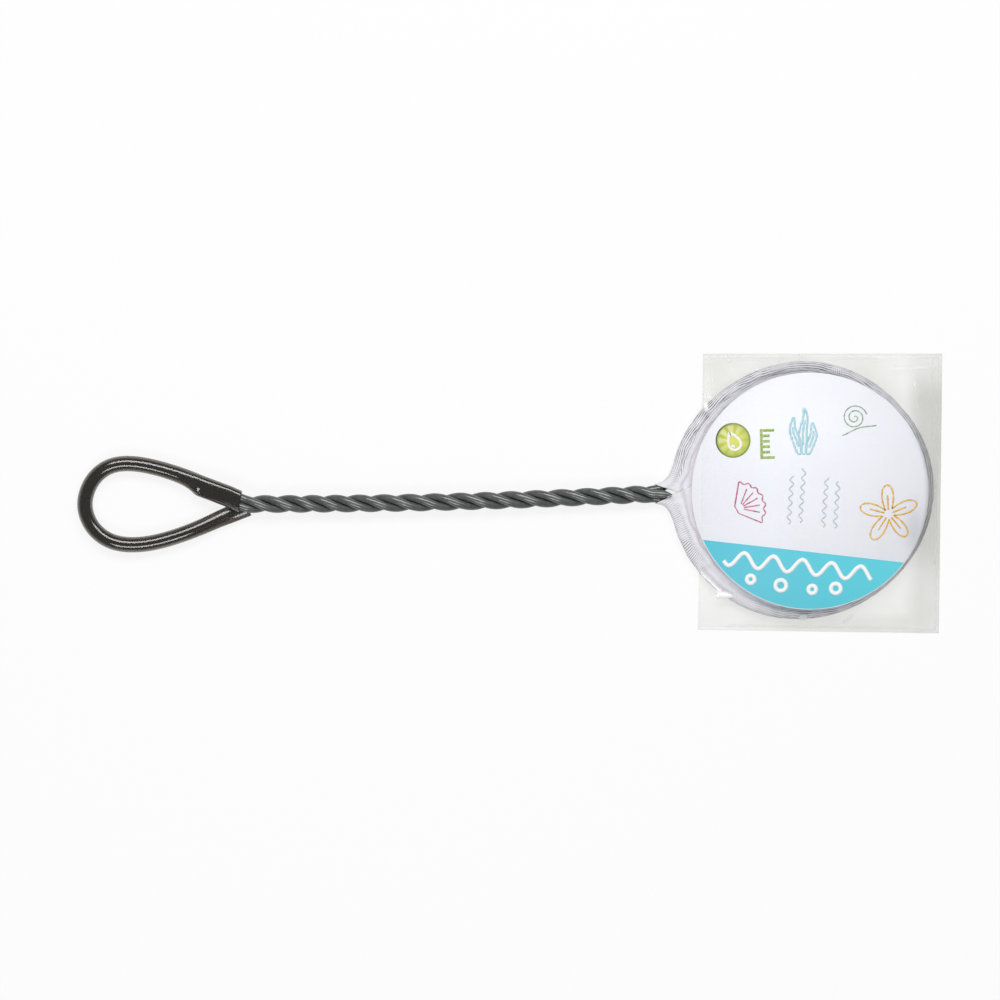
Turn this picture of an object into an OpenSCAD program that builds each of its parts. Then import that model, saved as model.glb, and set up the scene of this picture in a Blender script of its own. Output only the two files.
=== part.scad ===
// Aquarium fish net in its film pouch: one coated wire, doubled and twisted into a handle.
// +X runs along the handle towards the hoop, +Z up. The origin is the middle of the whole
// net's outline, on the surface that it lies on.

/* [Frame wire] */
// Diameter of the coated wire
wire_d = 3.1; // [2.6:0.1:3.4]
// Thickness of the coating on the steel core
coat_t = 0.45; // [0.4:0.05:0.8]

/* [Hoop] */
// Width of the hoop across the handle, over the header band
hoop_w = 100; // [80:1:150]
// How much further the hoop reaches along the handle than across it, at each end
hoop_stretch = 2; // [0:0.1:4]
// How far the hoop is drawn in between its four main points
hoop_draw = 1.1; // [0:0.1:2]
// Length of the neck, from the end of the twist to the hoop's own curve
neck_l = 9.5; // [9:0.5:12]

/* [Twisted handle] */
// Length of the twisted run
twist_l = 156.5; // [130:0.5:220]
// Whole turns of the twist
twist_turns = 5; // [4:1:6]
// Sideways bow of the handle
handle_bow = 1.1; // [0:0.1:4]

/* [Grip loop] */
// Length of the teardrop loop beyond the twist
loop_l = 63.3; // [50:0.1:90]
// Outer diameter of the grip tube
grip_d = 5.66; // [5.2:0.02:6]

/* [Header band and bag] */
// Thickness of the knitted band on the wire
band_t = 0.5; // [0.3:0.1:0.8]
// Width of the sewn hem inside the hoop
hem_w = 4.5; // [3:0.5:8]
// Thickness of the doubled hem
hem_t = 0.8; // [0.5:0.1:1.2]
// Height of the folded bag
bag_h = 6.35; // [6:0.05:10]

/* [Card] */
// How far the edge of the round card lies inside the width of the hoop
card_inset = 4; // [4:0.5:12]
// Thickness of the card
card_t = 0.4; // [0.2:0.1:0.8]

/* [Pouch] */
// How far the hoop and its band stand out of the pouch's mouth
pouch_mouth = 11.3; // [0:0.1:20]
// Width of the pouch's welded edge beside the hoop
pouch_side = 4; // [3:0.1:12]
// Thickness of each film
film_t = 0.25; // [0.15:0.05:0.4]
// Length of the pouch beyond the hoop
pouch_end = 2; // [2:0.1:6]
// Turn of the pouch about the middle of the hoop, in degrees
pouch_turn = -1.9; // [-3:0.1:3]

/* [Hidden] */

// Clearance between pieces that slide past each other, between the strands of the twist, and
// between wires that lie side by side
slide_gap = 0.3;
strand_gap = 0.2;
side_gap = 0.1;
// Reach of a cut past the piece that it cuts
overrun = 1;

// Sides of the wire's coating, its core and the bore of the coating
coat_n = 10;
core_n = 5;
// Rings in one turn of the twist, in a leg and round the hoop
rings_per_turn = 9;
leg_rings = 6;
hoop_rings = 44;
core_d = wire_d - 2 * coat_t;
// Height of a flat on a many-sided wire or tube, as a share of its radius
flat_share = cos(180 / coat_n);

// Heights: the band lies slide_gap above the back film, the bag's top slide_gap under the card
band_r = wire_d / 2 + band_t;
hoop_z = film_t + slide_gap + band_r;
bag_z = film_t + slide_gap;
card_z = bag_z + bag_h + slide_gap;
film_z = card_z + card_t + slide_gap;

// Hoop: distance from its middle to the wire at an angle from the far end
hoop_r = hoop_w / 2 - band_r;
function hoop_at(a) = hoop_r + hoop_stretch * (1 + cos(2 * a)) / 2 - hoop_draw * (1 - cos(4 * a)) / 2;
hoop_open_a = 165;
hoop_far = hoop_at(0) + band_r;

// Handle: the twist runs from the neck to the loop, and its strands start at these angles
neck_x = -hoop_at(180) - neck_l;
loop_x = neck_x - twist_l;
nose_x = loop_x - loop_l;
last_turn_share = 0.51;
turns = twist_turns + last_turn_share;
pitch = twist_l / turns;
twist_start = 213;
upper_phase = 120;
lower_phase = 0;
tail_phase = 240;
// Radius of the strands' middle lines: three round strands that just clear each other at this lay
lay = 2 * PI * wire_d / sqrt(3) / pitch;
strand_r = (wire_d + strand_gap) / sqrt(3) / sqrt(1 - lay * lay / 4);
// Sideways places of the handle's ends
neck_y = -0.2;
loop_y = -0.75;

// Grip tube: its bore, its wall where two wires stretch it, and its flattened lower end
grip_bore_d = wire_d + slide_gap;
grip_wall_double = 0.72;
grip_flat_h = 4;
grip_flat_w = 6.1;
grip_z = grip_d / 2 * flat_share;
// The tail strand runs low through the flattened tube, and the other two pass over it
floor_gap = 0.05;
over_gap = 0.12;
tail_z = grip_flat_h / 2 * flat_share + floor_gap;
over_z = tail_z + (grip_flat_h + wire_d) / 2 * flat_share + over_gap;
// Height of the twist's middle line at the neck and at the loop
neck_z = strand_r + wire_d / 2 + floor_gap;
loop_lift_share = 0.25;
loop_mid_z = (tail_z + over_z) / 2 + loop_lift_share * strand_r;
// Length of the twist in which the strands open to pass the tube
open_l = 10;

// Teardrop loop: control lengths of its two halves, at the twist and at the nose
upper_run = 33;
upper_slope_share = 0.38;
upper_swell = 27.4;
lower_run = 15.2;
lower_slope_share = 0.48;
lower_swell = 30.6;
nose_draw = 4.2;
nose_y = 0.3;
// Places along the two halves, from the twist to the nose, as shares of the curve's parameter
upper_shares = [0, 0.035, 0.07, 0.11, 0.15, 0.19, 0.22, 0.245, 0.3, 0.37, 0.44, 0.52, 0.6, 0.67,
    0.74, 0.8, 0.86, 0.91, 0.955, 1];
lower_shares = [0, 0.07, 0.14, 0.22, 0.3, 0.38, 0.46, 0.54, 0.61, 0.67, 0.73, 0.79, 0.85, 0.9,
    0.95, 1];
// Ring of the upper half at which the tube is cut, and the last ring at which it holds two wires
cut_ring = 1;
end_ring = 6;

// Smooth step from 0 to 1 between a and b
function ease(a, b, v) = let (t = min(1, max(0, (v - a) / (b - a)))) t * t * (3 - 2 * t);
// Point of a cubic curve with four control points
function curve(p, t) =
    pow(1 - t, 3) * p[0] + 3 * pow(1 - t, 2) * t * p[1] + 3 * (1 - t) * t * t * p[2] + pow(t, 3) * p[3];
function unit(v) = v / norm(v);
function reversed(list) = [for (i = [len(list) - 1:-1:0]) list[i]];
function without_first(list) = [for (i = [1:len(list) - 1]) list[i]];

// Twist: middle line and strands at a share s of its length, from the neck to the loop
function mid_y(s) = neck_y + (loop_y - neck_y) * s - handle_bow * sin(180 * s);
function mid_z(s) = neck_z + (loop_mid_z - neck_z) * pow(s, 3);
function strand_angle(s, phase) = twist_start + phase - 360 * turns * s;
function opening(s) = ease(1 - open_l / twist_l, 1, s);
function strand_raw(s, phase) = [
    neck_x - twist_l * s,
    mid_y(s) + strand_r * cos(strand_angle(s, phase)),
    mid_z(s) + strand_r * sin(strand_angle(s, phase))
];
// Near the loop each strand moves up or down to the height at which it leaves the twist
function strand_lift(phase) = (phase == tail_phase ? tail_z : over_z) - strand_raw(1, phase)[2];
function strand_at(s, phase) = strand_raw(s, phase) + [0, 0, opening(s) * strand_lift(phase)];
twist_rings = ceil(rings_per_turn * turns);
function strand(phase) = [for (i = [0:twist_rings]) strand_at(i / twist_rings, phase)];

// Hoop and its two legs, from the upper strand's end to the lower strand's end
function hoop_point(a) = [hoop_at(a) * cos(a), hoop_at(a) * sin(a), hoop_z];
leg_in = 6.5;
leg_out = 9;
leg_spread_share = 0.05;
function leg(phase, side) = let (
        a = strand_at(0, phase),
        b = hoop_point(side * hoop_open_a),
        along = [sin(hoop_open_a), -side * cos(hoop_open_a), 0]
    )
    [for (i = [0:leg_rings]) curve([
        a, a + leg_in * [1, side * leg_spread_share, 0], b - leg_out * along, b
    ], i / leg_rings)];
upper_leg = leg(upper_phase, 1);
lower_leg = leg(lower_phase, -1);
hoop_arc = [for (i = [0:hoop_rings]) hoop_point(hoop_open_a * (1 - 2 * i / hoop_rings))];
hoop_line = concat(upper_leg, without_first(hoop_arc), without_first(reversed(lower_leg)));

// Grip loop: the upper half over the crossing, the lower half under it
nose = [nose_x, nose_y, grip_z];
upper_start = strand_at(1, lower_phase);
lower_start = strand_at(1, tail_phase);
over_share = 0.06;
down_share = 0.3;
function upper_point(t) = let (p = curve([
        upper_start,
        upper_start + upper_run * unit([-1, upper_slope_share, 0]),
        nose + [nose_draw, upper_swell, 0],
        nose
    ], t))
    [p[0], p[1], over_z + (grip_z - over_z) * ease(over_share, down_share, t)];
// Shares up to which the tube's lower end is flat, and from which it is round
still_flat_share = 0.1;
round_share = 0.4;
function roundness(t) = ease(still_flat_share, round_share, t);
function lower_point(t) = let (p = curve([
        lower_start,
        lower_start + lower_run * unit([-1, -lower_slope_share, 0]),
        nose + [nose_draw, -lower_swell, 0],
        nose
    ], t))
    [p[0], p[1], tail_z + (grip_z - tail_z) * roundness(t)];
upper_half = [for (t = upper_shares) upper_point(t)];
lower_half = [for (t = lower_shares) lower_point(t)];
loop_line = concat(upper_half, without_first(reversed(lower_half)));

// Directions at each point of a line: along it, to its left, and up
function along_at(p, i) = unit(p[min(i + 1, len(p) - 1)] - p[max(i - 1, 0)]);
function left_at(p, i) = unit(cross([0, 0, 1], along_at(p, i)));
function up_at(p, i) = cross(along_at(p, i), left_at(p, i));

// The hidden end lies inside the upper half of the loop, one wire's width to its left
end_pitch = wire_d + side_gap;
end_start = strand_at(1, upper_phase) - upper_start;
function end_offset(i) = let (t = ease(0, cut_ring, i)) (1 - t) * end_start + t * end_pitch * left_at(loop_line, i);
hidden_end = [for (i = [end_ring:-1:0]) loop_line[i] + end_offset(i)];
// The tail strand's cut end runs on a little past the twist, above the two legs
tail_end_l = 4.6;
tail_end_shares = [1, -0.07, -0.02];
tail_end = strand_at(0, tail_phase) + tail_end_l * tail_end_shares;

upper_strand = concat(hidden_end, without_first(reversed(strand(upper_phase))));
lower_strand = strand(lower_phase);
tail_strand = concat(reversed(strand(tail_phase)), [tail_end]);
wire_line = concat(
    upper_strand, without_first(hoop_line), without_first(lower_strand),
    without_first(loop_line), without_first(tail_strand)
);
// Rings of the whole wire at which one run ends and the next begins
hoop_from = len(upper_strand) - 1;
lower_from = hoop_from + len(hoop_line) - 1;
loop_from = lower_from + len(lower_strand) - 1;
tail_from = loop_from + len(loop_line) - 1;

// Outline with n corners on a circle, with a flat at its top and bottom where n is even but no
// multiple of four
function unit_outline(n) = [for (i = [0:n - 1]) [cos(360 * i / n), sin(360 * i / n)]];
function round_outline(d, n) = d / 2 * unit_outline(n);
// A ring of points: an outline set square on point i of line p
function ring(p, i, outline) = [for (q = outline) p[i] + q[0] * left_at(p, i) + q[1] * up_at(p, i)];
function flat(lists) = [for (a = lists) for (b = a) b];

// Solid of rings of n points, with a second set of rings as its bore where there is one. The
// bore's rings may have fewer points
module loft(rings, bore = []) {
    m = len(rings);
    n = len(rings[0]);
    k = len(bore) > 0 ? len(bore[0]) : 0;
    base = m * n;
    walls = [for (j = [0:m - 2]) for (i = [0:n - 1]) let (
            a = j * n + i, b = j * n + (i + 1) % n
        ) each [[a, b + n, b], [a, a + n, b + n]]];
    bores = k == 0 ? [] : [for (j = [0:m - 2]) for (i = [0:k - 1]) let (
            a = base + j * k + i, b = base + j * k + (i + 1) % k
        ) each [[a, b, b + k], [a, b + k, a + k]]];
    closed_ends = [for (i = [1:n - 2]) each [
        [0, i, i + 1], [base - n, base - n + i + 1, base - n + i]
    ]];
    top = (m - 1) * n;
    top_bore = base + (m - 1) * k;
    open_ends = k == 0 ? [] : [for (i = [0:n - 1]) let (
            a = i, b = (i + 1) % n, c = floor((a + 0.5) * k / n), d = floor((b + 0.5) * k / n)
        ) each concat(
            [[a, b, base + c], [top + a, top_bore + c, top + b]],
            c == d ? [] : [[b, base + d, base + c], [top + b, top_bore + c, top_bore + d]]
        )];
    polyhedron(
        points = concat(flat(rings), flat(bore)),
        faces = concat(walls, bores, k == 0 ? closed_ends : open_ends)
    );
}

// Run of the wire between two of its rings, as a rod or as a coating round the core
function wire_rings(from, to, d, n) = [for (i = [from:to]) ring(wire_line, i, round_outline(d, n))];
module coating(from, to) {
    color("dimgray")
        loft(wire_rings(from, to, wire_d, coat_n), wire_rings(from, to, core_d, core_n));
}

// Grip tube: outline at ring i of the loop. It is wide over two wires, round, and flat at its
// lower end
lower_last = len(loop_line) - 1;
function two_wires(i) = i <= end_ring ? 1 : 0;
function lower_roundness(i) =
    i < len(upper_half) ? 1 : roundness(lower_shares[lower_last - i]);
function grip_outline(i) = let (
        w = two_wires(i), f = lower_roundness(i), wide_r = wire_d / 2 + grip_wall_double,
        rx = (f * grip_d + (1 - f) * grip_flat_w) / 2 * (1 - w) + w * wide_r,
        ry = (f * grip_d + (1 - f) * grip_flat_h) / 2 * (1 - w) + w * wide_r
    )
    [for (q = unit_outline(coat_n)) [q[0] * rx + (q[0] > 0 ? w * end_pitch : 0), q[1] * ry]];
function grip_bore(i) = let (w = two_wires(i))
    [for (q = round_outline(grip_bore_d, coat_n)) [q[0] + (q[0] > 0 ? w * end_pitch : 0), q[1]]];

// Header band: a sleeve on the hoop wire with a flat hem on its inner side. The two ends of
// the hem taper where the legs draw together, and meet along the handle's middle line
band_from = 2;
band_to = len(hoop_line) - 1 - band_from;
// Least width of the hem, at its two ends
hem_least_w = 0.05;
function room_at(i) = let (side = left_at(hoop_line, i)[1])
    side == 0 ? hoop_r : abs((hoop_line[i][1] - neck_y) / side);
function hem_width(i) = min(hem_w, max(hem_least_w, room_at(i) - band_r - slide_gap));
hem_root = [-sqrt(band_r * band_r - hem_t * hem_t / 4), hem_t / 2];
function band_outline(i) = let (
        corner_a = 360 / coat_n,
        tip = [-band_r - hem_width(i), hem_t / 2]
    )
    concat(
        [for (c = [0:3]) band_r * [cos(c * corner_a), sin(c * corner_a)]],
        [hem_root, tip, [tip[0], -tip[1]], [hem_root[0], -hem_root[1]]],
        [for (c = [3:-1:1]) band_r * [cos(c * corner_a), -sin(c * corner_a)]]
    );

// Folded bag: its edge follows the hem, and shallow folds run in towards its middle
bag_sides = 36;
bag_folds = 9;
bag_shares = [0.4, 0.75, 0.93, 1];
bag_top_shares = [1, 0.98, 0.9, 0.62];
bag_low_shares = [0, 0, 0.05, 0.3];
fold_depth = 0.9;
fold_turn = 40;
bag_edge_gap = 0.25;
function bag_r(a) = hoop_at(a) - band_r - hem_w - bag_edge_gap;
function bag_point(i, j, high) = let (
        a = 360 * i / bag_sides, r = bag_shares[j] * bag_r(a),
        fold = fold_depth * bag_shares[j] * bag_shares[j] * (1 + cos(bag_folds * a + fold_turn * j)) / 2,
        z = bag_h * (high ? bag_top_shares[j] : bag_low_shares[j])
    )
    [r * cos(a), r * sin(a), bag_z + (high ? z - (j == 0 ? 0 : fold) : z + (j < 2 ? 0 : fold / 2))];
bag_rings = concat(
    [for (j = [0:len(bag_shares) - 1]) [for (i = [0:bag_sides - 1]) bag_point(i, j, false)]],
    [for (j = [len(bag_shares) - 1:-1:0]) [for (i = [0:bag_sides - 1]) bag_point(i, j, true)]]
);

// Pouch, in its own frame: u along it from the mouth to the end, v across it
pouch_u0 = pouch_mouth - hoop_far;
pouch_u1 = hoop_far + pouch_end;
pouch_l = pouch_u1 - pouch_u0;
pouch_w = hoop_w + 2 * pouch_side;
pouch_shift = -1.2;
pouch_v0 = pouch_shift - pouch_w / 2;
rim_r = hoop_w / 2 + slide_gap;
rim_u = hoop_far + slide_gap - rim_r;
rim_fillet = 4;
shoulder_r = rim_r - rim_fillet;
shoulder_z = film_z - rim_fillet;

// Card: its middle from the middle of the pouch's round end
card_d = hoop_w - 2 * card_inset;
card_shift = [0.4, -0.6];

// Whole outline: the nose of the tube at one end, the pouch's corners at the other
function turned(u, v) = [u * cos(pouch_turn) - v * sin(pouch_turn), u * sin(pouch_turn) + v * cos(pouch_turn)];
corners = [for (u = [pouch_u0, pouch_u1]) for (v = [pouch_v0, pouch_v0 + pouch_w]) turned(u, v)];
mid = [
    (nose_x - grip_d / 2 + max([for (c = corners) c[0]])) / 2,
    (min([for (c = corners) c[1]]) + max([for (c = corners) c[1]])) / 2
];

// Places a piece that is drawn about the middle of the hoop
module placed() {
    translate([-mid[0], -mid[1], 0]) children();
}
module in_pouch_frame() {
    placed() rotate([0, 0, pouch_turn]) children();
}

module steel_core() {
    color("silver") placed()
        loft(wire_rings(0, len(wire_line) - 1, core_d, core_n));
}

module hoop_coating() {
    placed() coating(hoop_from, lower_from);
}

module upper_strand_coating() {
    placed() coating(0, hoop_from);
}

module lower_strand_coating() {
    placed() coating(lower_from, loop_from);
}

module tail_strand_coating() {
    placed() coating(tail_from, len(wire_line) - 1);
}

module loop_coating() {
    placed() coating(loop_from, tail_from);
}

module grip_tube() {
    color("#3c372e") placed() loft(
        [for (i = [cut_ring:lower_last]) ring(loop_line, i, grip_outline(i))],
        [for (i = [cut_ring:lower_last]) ring(loop_line, i, grip_bore(i))]
    );
}

module header_band() {
    color("white") placed() loft(
        [for (i = [band_from:band_to]) ring(wire_line, hoop_from + i, band_outline(i))],
        [for (i = [band_from:band_to]) ring(wire_line, hoop_from + i, round_outline(wire_d, coat_n))]
    );
}

module net_bag() {
    color("whitesmoke") placed() loft(bag_rings);
}

module insert_card() {
    color("ghostwhite") placed()
        translate([rim_u + card_shift[0], card_shift[1], card_z]) cylinder(h = card_t, d = card_d, $fn = 180);
}

// Outline of a tongue: straight from the mouth, round at the far end
module tongue(r, from) {
    translate([from, -r]) square([rim_u - from, 2 * r]);
    translate([rim_u, 0]) circle(r = r, $fn = 180);
}

// Section of the pouch's rim: a quarter round shoulder on an upright wall
module rim_section() {
    translate([shoulder_r, shoulder_z]) intersection() {
        difference() {
            circle(r = rim_fillet + film_t, $fn = 96);
            circle(r = rim_fillet, $fn = 96);
        }
        square(rim_fillet + film_t);
    }
    translate([rim_r, film_t]) square([film_t, shoulder_z - film_t]);
}

module pouch_front_film() {
    color("aliceblue", 0.35) in_pouch_frame() {
        translate([0, 0, film_z]) linear_extrude(film_t) tongue(shoulder_r, pouch_u0);
        translate([rim_u, 0, 0]) rotate([0, 0, -90]) rotate_extrude(angle = 180, $fn = 180) rim_section();
        for (side = [0, 1]) mirror([0, side, 0])
            translate([pouch_u0, 0, 0]) rotate([90, 0, 90]) linear_extrude(rim_u - pouch_u0) rim_section();
        translate([0, 0, film_t]) linear_extrude(film_t) difference() {
            translate([pouch_u0, pouch_v0]) square([pouch_l, pouch_w]);
            tongue(rim_r, pouch_u0 - overrun);
        }
    }
}

module pouch_back_film() {
    color("aliceblue", 0.35) in_pouch_frame()
        translate([pouch_u0, pouch_v0, 0]) cube([pouch_l, pouch_w, film_t]);
}

steel_core();
hoop_coating();
upper_strand_coating();
lower_strand_coating();
tail_strand_coating();
loop_coating();
grip_tube();
header_band();
net_bag();
insert_card();
pouch_front_film();
pouch_back_film();
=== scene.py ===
import math
from functools import partial

import bpy
import numpy as np
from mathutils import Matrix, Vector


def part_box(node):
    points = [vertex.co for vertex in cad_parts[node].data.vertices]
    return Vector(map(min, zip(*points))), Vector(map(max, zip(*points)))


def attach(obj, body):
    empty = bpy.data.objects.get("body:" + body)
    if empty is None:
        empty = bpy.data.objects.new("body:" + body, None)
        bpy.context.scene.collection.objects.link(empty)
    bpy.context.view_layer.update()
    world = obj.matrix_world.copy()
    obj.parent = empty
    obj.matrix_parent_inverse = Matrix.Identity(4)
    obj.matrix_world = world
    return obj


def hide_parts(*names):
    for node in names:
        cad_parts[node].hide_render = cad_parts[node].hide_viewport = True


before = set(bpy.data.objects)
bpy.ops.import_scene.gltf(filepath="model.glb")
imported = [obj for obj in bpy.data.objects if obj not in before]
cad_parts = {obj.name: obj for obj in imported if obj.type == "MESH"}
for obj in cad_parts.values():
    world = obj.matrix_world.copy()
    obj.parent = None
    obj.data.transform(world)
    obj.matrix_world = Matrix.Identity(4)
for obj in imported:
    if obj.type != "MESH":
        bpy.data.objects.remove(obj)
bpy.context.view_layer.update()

mm = 0.001

# Aquarium fish net in its film pouch. Lengths below are millimetres about the middle of the hoop;
# toMetres puts them into the part's own frame.
hoop = {
    "boxReach": 52,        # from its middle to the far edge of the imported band
    "radius": 47.4,        # of the wire's middle line, across the handle
    "far": 0.55,           # how much it swells away from the handle
    "near": 2.4,           # and towards it
    "draw": 0.73,          # drawn in between its four main points
    "bulge": 1.1,          # pushed out at one place
    "bulgeAt": (-130, 38), # degrees, its middle and its reach
    "openAngle": 165,      # where the legs leave the hoop's own curve, from the far end
    "neckX": -59.45,       # end of the twist
    "height": 2.6,         # of the wire's middle line
    "legIn": 6.5,          # control lengths of a leg
    "legOut": 9,
    "legSpread": 0.05,
}
wire = {
    "diameter": 3.1, "coreDiameter": 2.2, "coreGap": 0.01, "sides": 30, "boreSides": 10, "coreSides": 14,
    "step": 0.6
}
twist = {
    "length": 156.5,
    "turns": 5.51,
    "start": 213,          # degrees, of the lower strand at the neck
    "bow": 1.1,
    "strandGap": 0.2,
    "neckY": -0.5,
    "loopY": -0.75,
    "openLength": 10,      # in which the strands open to pass the tube
    # hand tools twist unevenly: how far the lay runs ahead at shares of the length, in millimetres
    "drift": (
        (0, -0.5), (0.03, -0.9), (0.07, -1.28), (0.12, -1.34), (0.16, -1.05), (0.22, -0.7), (0.28, -0.39),
        (0.34, 0), (0.4, 0.31), (0.46, 0.58), (0.52, 0.89), (0.58, 1.24), (0.64, 1.51), (0.68, 1.7),
        (0.73, 1.63), (0.77, 1.38), (0.815, 0.95), (0.845, 0.58), (0.89, 0.15), (0.94, 0.15), (1, 0)
    ),
    "upper": 120,          # phases of the strands
    "lower": 0,
    "tail": 240,
}
loop = {
    "length": 63.3,
    # each half of the loop: its straight run, its slope, its swell and where it bows out
    "upper": {"run": 33, "slope": 0.38, "swell": 27.4, "bows": (0.02, 0.08)},
    "lower": {"run": 15.2, "slope": 0.48, "swell": 30.6, "bows": (0.04, 0.16)},
    "noseDraw": 4.2,
    "noseRound": 8,        # reach of the mean that rounds the nose off
    "noseNear": (22, 11),  # from the nose, where that mean fades
    "armOut": 0.35,
    "noseY": 0.3,
    "cut": 0.028,          # where the tube starts, as a share of the upper half
    "hiddenEnd": 0.195,    # where the wire's hidden end stops
    "sidePitch": 3.2,      # between two wires that lie side by side
    "over": (0.06, 0.3),   # shares in which the upper half comes down from the crossing
    "flat": (0.1, 0.4),    # shares in which the flattened lower end turns round
}
tube = {
    "diameter": 6.0,
    "bore": 3.4,
    "wall": 1.15,
    "doubleWall": 0.95,    # over the two wires that lie side by side
    "flatHeight": 4,
    "flatWidth": 6.5,
    "pressed": 0.22,       # share of the lower half in which its end widens
    "pressedWidth": 0.5,
    "pressedOff": 0.95,
    "end": 0.012,          # where its lower end stops, as a share of the lower half
    "stretchFall": 4.2,    # in which the tube closes again past the wire's hidden end
    "closed": (26, 18),    # how far past it the tube is quite round again, and from where
    "off": 0.12,
    "valley": 0.15,
    "valleyAt": 1.8,
    "valleyWidth": 0.85,
    "knob": 0.4,           # how far the wire's hidden end lifts the tube
    "knobAt": 3.9,
    "knobSize": (0.8, 0.9), # across the tube and along it
    "lean": 1.9,           # of the cut end over the two wires
    "leanFall": 3.2,       # in which the lean dies out along the tube
    "leanFrom": -2.3,      # where across the tube it starts, and over what width
    "leanWidth": 7.6,
    "rim": 0.965,          # share of the section to which the cut rims are rounded off
    "ridge": 0.16,         # how far the hidden wire shows through as a ridge
    "ridgeAt": 4.2,
    "ridgeWidth": 0.38,
    "sides": 96,
    "boreSides": 24,
    "step": 0.45,
}
tailEnd = {"length": 7.8, "way": (1, -0.07, -0.02)}

bandRadius = 2.05    # of the sleeve on the wire
bandLow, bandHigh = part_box("header_band")
hoopMiddle = np.array([bandHigh.x / mm - hoop["boxReach"], (bandLow.y + bandHigh.y) / 2 / mm, 0])


def toMetres(points):
    # from millimetres about the middle of the hoop to the part's own metres
    return (np.asarray(points, float) + hoopMiddle) * mm


def ease(start, end, value):
    # smooth step: 3t2 - 2t3
    t = np.clip((value - start) / (end - start), 0, 1)
    return t * t * (3 - 2 * t)


def cubic(corners, t):
    # Bezier curve of four corners
    t = np.asarray(t, float)[:, None]
    a, b, c, d = (np.asarray(p, float) for p in corners)
    return (1 - t) ** 3 * a + 3 * (1 - t) ** 2 * t * b + 3 * (1 - t) * t * t * c + t ** 3 * d


def unit(vectors):
    return vectors / np.linalg.norm(vectors, axis=-1, keepdims=True)


# Route of the one wire: hidden end, handle, hoop, handle, grip loop, handle, cut end

neckX = hoop["neckX"]
loopX = neckX - twist["length"]
pitch = twist["length"] / twist["turns"]
lay = 2 * math.pi * wire["diameter"] / math.sqrt(3) / pitch
strandRadius = (wire["diameter"] + twist["strandGap"]) / math.sqrt(3) / math.sqrt(1 - lay * lay / 4)
tailZ = tube["flatHeight"] / 2 + 0.04
overZ = tailZ + (tube["flatHeight"] + wire["diameter"]) / 2 + 0.04
gripZ = tube["diameter"] / 2 + 0.04
neckZ = strandRadius + wire["diameter"] / 2 + 0.05
loopMiddleZ = (tailZ + overZ) / 2 + strandRadius / 4


def strandAt(share, phase):
    # helix round a bowed middle line: y and z turn with the share of the twist
    share = np.asarray(share, float)
    places, drift = zip(*twist["drift"])
    lagging = share - np.interp(share, places, drift) / twist["length"]
    angle = np.radians(twist["start"] + phase - 360 * twist["turns"] * lagging)
    y = twist["neckY"] + (twist["loopY"] - twist["neckY"]) * share - twist["bow"] * np.sin(np.pi * share)
    z = neckZ + (loopMiddleZ - neckZ) * share ** 3
    line = np.stack([
        neckX - twist["length"] * share, y + strandRadius * np.cos(angle), z + strandRadius * np.sin(angle)
    ], -1)
    lastAngle = math.radians(twist["start"] + phase - 360 * twist["turns"])
    leaveZ = tailZ if phase == twist["tail"] else overZ
    lift = leaveZ - (loopMiddleZ + strandRadius * math.sin(lastAngle))
    line[..., 2] += lift * ease(1 - twist["openLength"] / twist["length"], 1, share)
    return line


def hoopPoint(angle):
    # radius swells with cos2 a, more towards the handle, draws in with sin2 2a and bulges out in a bell
    swell = np.where(np.cos(angle) > 0, hoop["far"], hoop["near"]) * np.cos(angle) ** 2
    middle, reach = np.radians(hoop["bulgeAt"])
    off = (angle - middle + np.pi) % (2 * np.pi) - np.pi
    radius = (hoop["radius"] + swell - hoop["draw"] * np.sin(2 * angle) ** 2
              + hoop["bulge"] * np.exp(-(off / reach) ** 2))
    height = np.full_like(angle, hoop["height"])
    return np.stack([radius * np.cos(angle), radius * np.sin(angle), height], -1)


def legLine(phase, side, t):
    # cubic curve from a strand's end at the neck to the hoop, which it meets along the hoop's own way
    opens = math.radians(hoop["openAngle"])
    start = strandAt(0.0, phase)
    end = hoopPoint(np.array([side * opens]))[0]
    along = np.array([math.sin(opens), -side * math.cos(opens), 0])
    inward = start + hoop["legIn"] * np.array([1, side * hoop["legSpread"], 0])
    return cubic([start, inward, end - hoop["legOut"] * along, end], t)


def hoopLine(step):
    # from the upper strand's end round the hoop to the lower strand's end
    t = np.linspace(0, 1, 40)
    angles = np.radians(np.linspace(hoop["openAngle"], -hoop["openAngle"], round(290 / step)))
    return np.concatenate([
        legLine(twist["upper"], 1, t), hoopPoint(angles)[1:], legLine(twist["lower"], -1, t)[::-1][1:]
    ])


nose = np.array([loopX - loop["length"], loop["noseY"], gripZ])


def halfLine(side, t):
    # cubic curve from a strand's end to the nose: side 1 comes down from the crossing, -1 starts flat
    half = loop["upper" if side > 0 else "lower"]
    start = strandAt(1.0, twist["lower" if side > 0 else "tail"])
    way = unit(np.array([-1, side * half["slope"], 0]))
    line = cubic([
        start, start + half["run"] * way, nose + np.array([loop["noseDraw"], side * half["swell"], 0]), nose
    ], t)
    line[:, 1] += side * loop["armOut"] * ease(*half["bows"], t) * ease(0.8, 0.5, t)
    z = overZ if side > 0 else tailZ
    line[:, 2] = z + (gripZ - z) * ease(*loop["over" if side > 0 else "flat"], t)
    return line


def directions(line):
    # along the line, to its left and up
    along = unit(np.gradient(line, axis=0))
    left = unit(np.cross([0.0, 0.0, 1.0], along))
    return along, left, np.cross(along, left)


def travelled(line):
    # distance along the line at each of its points
    return np.concatenate([[0], np.cumsum(np.linalg.norm(np.diff(line[:, :3], axis=0), axis=1))])


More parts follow.
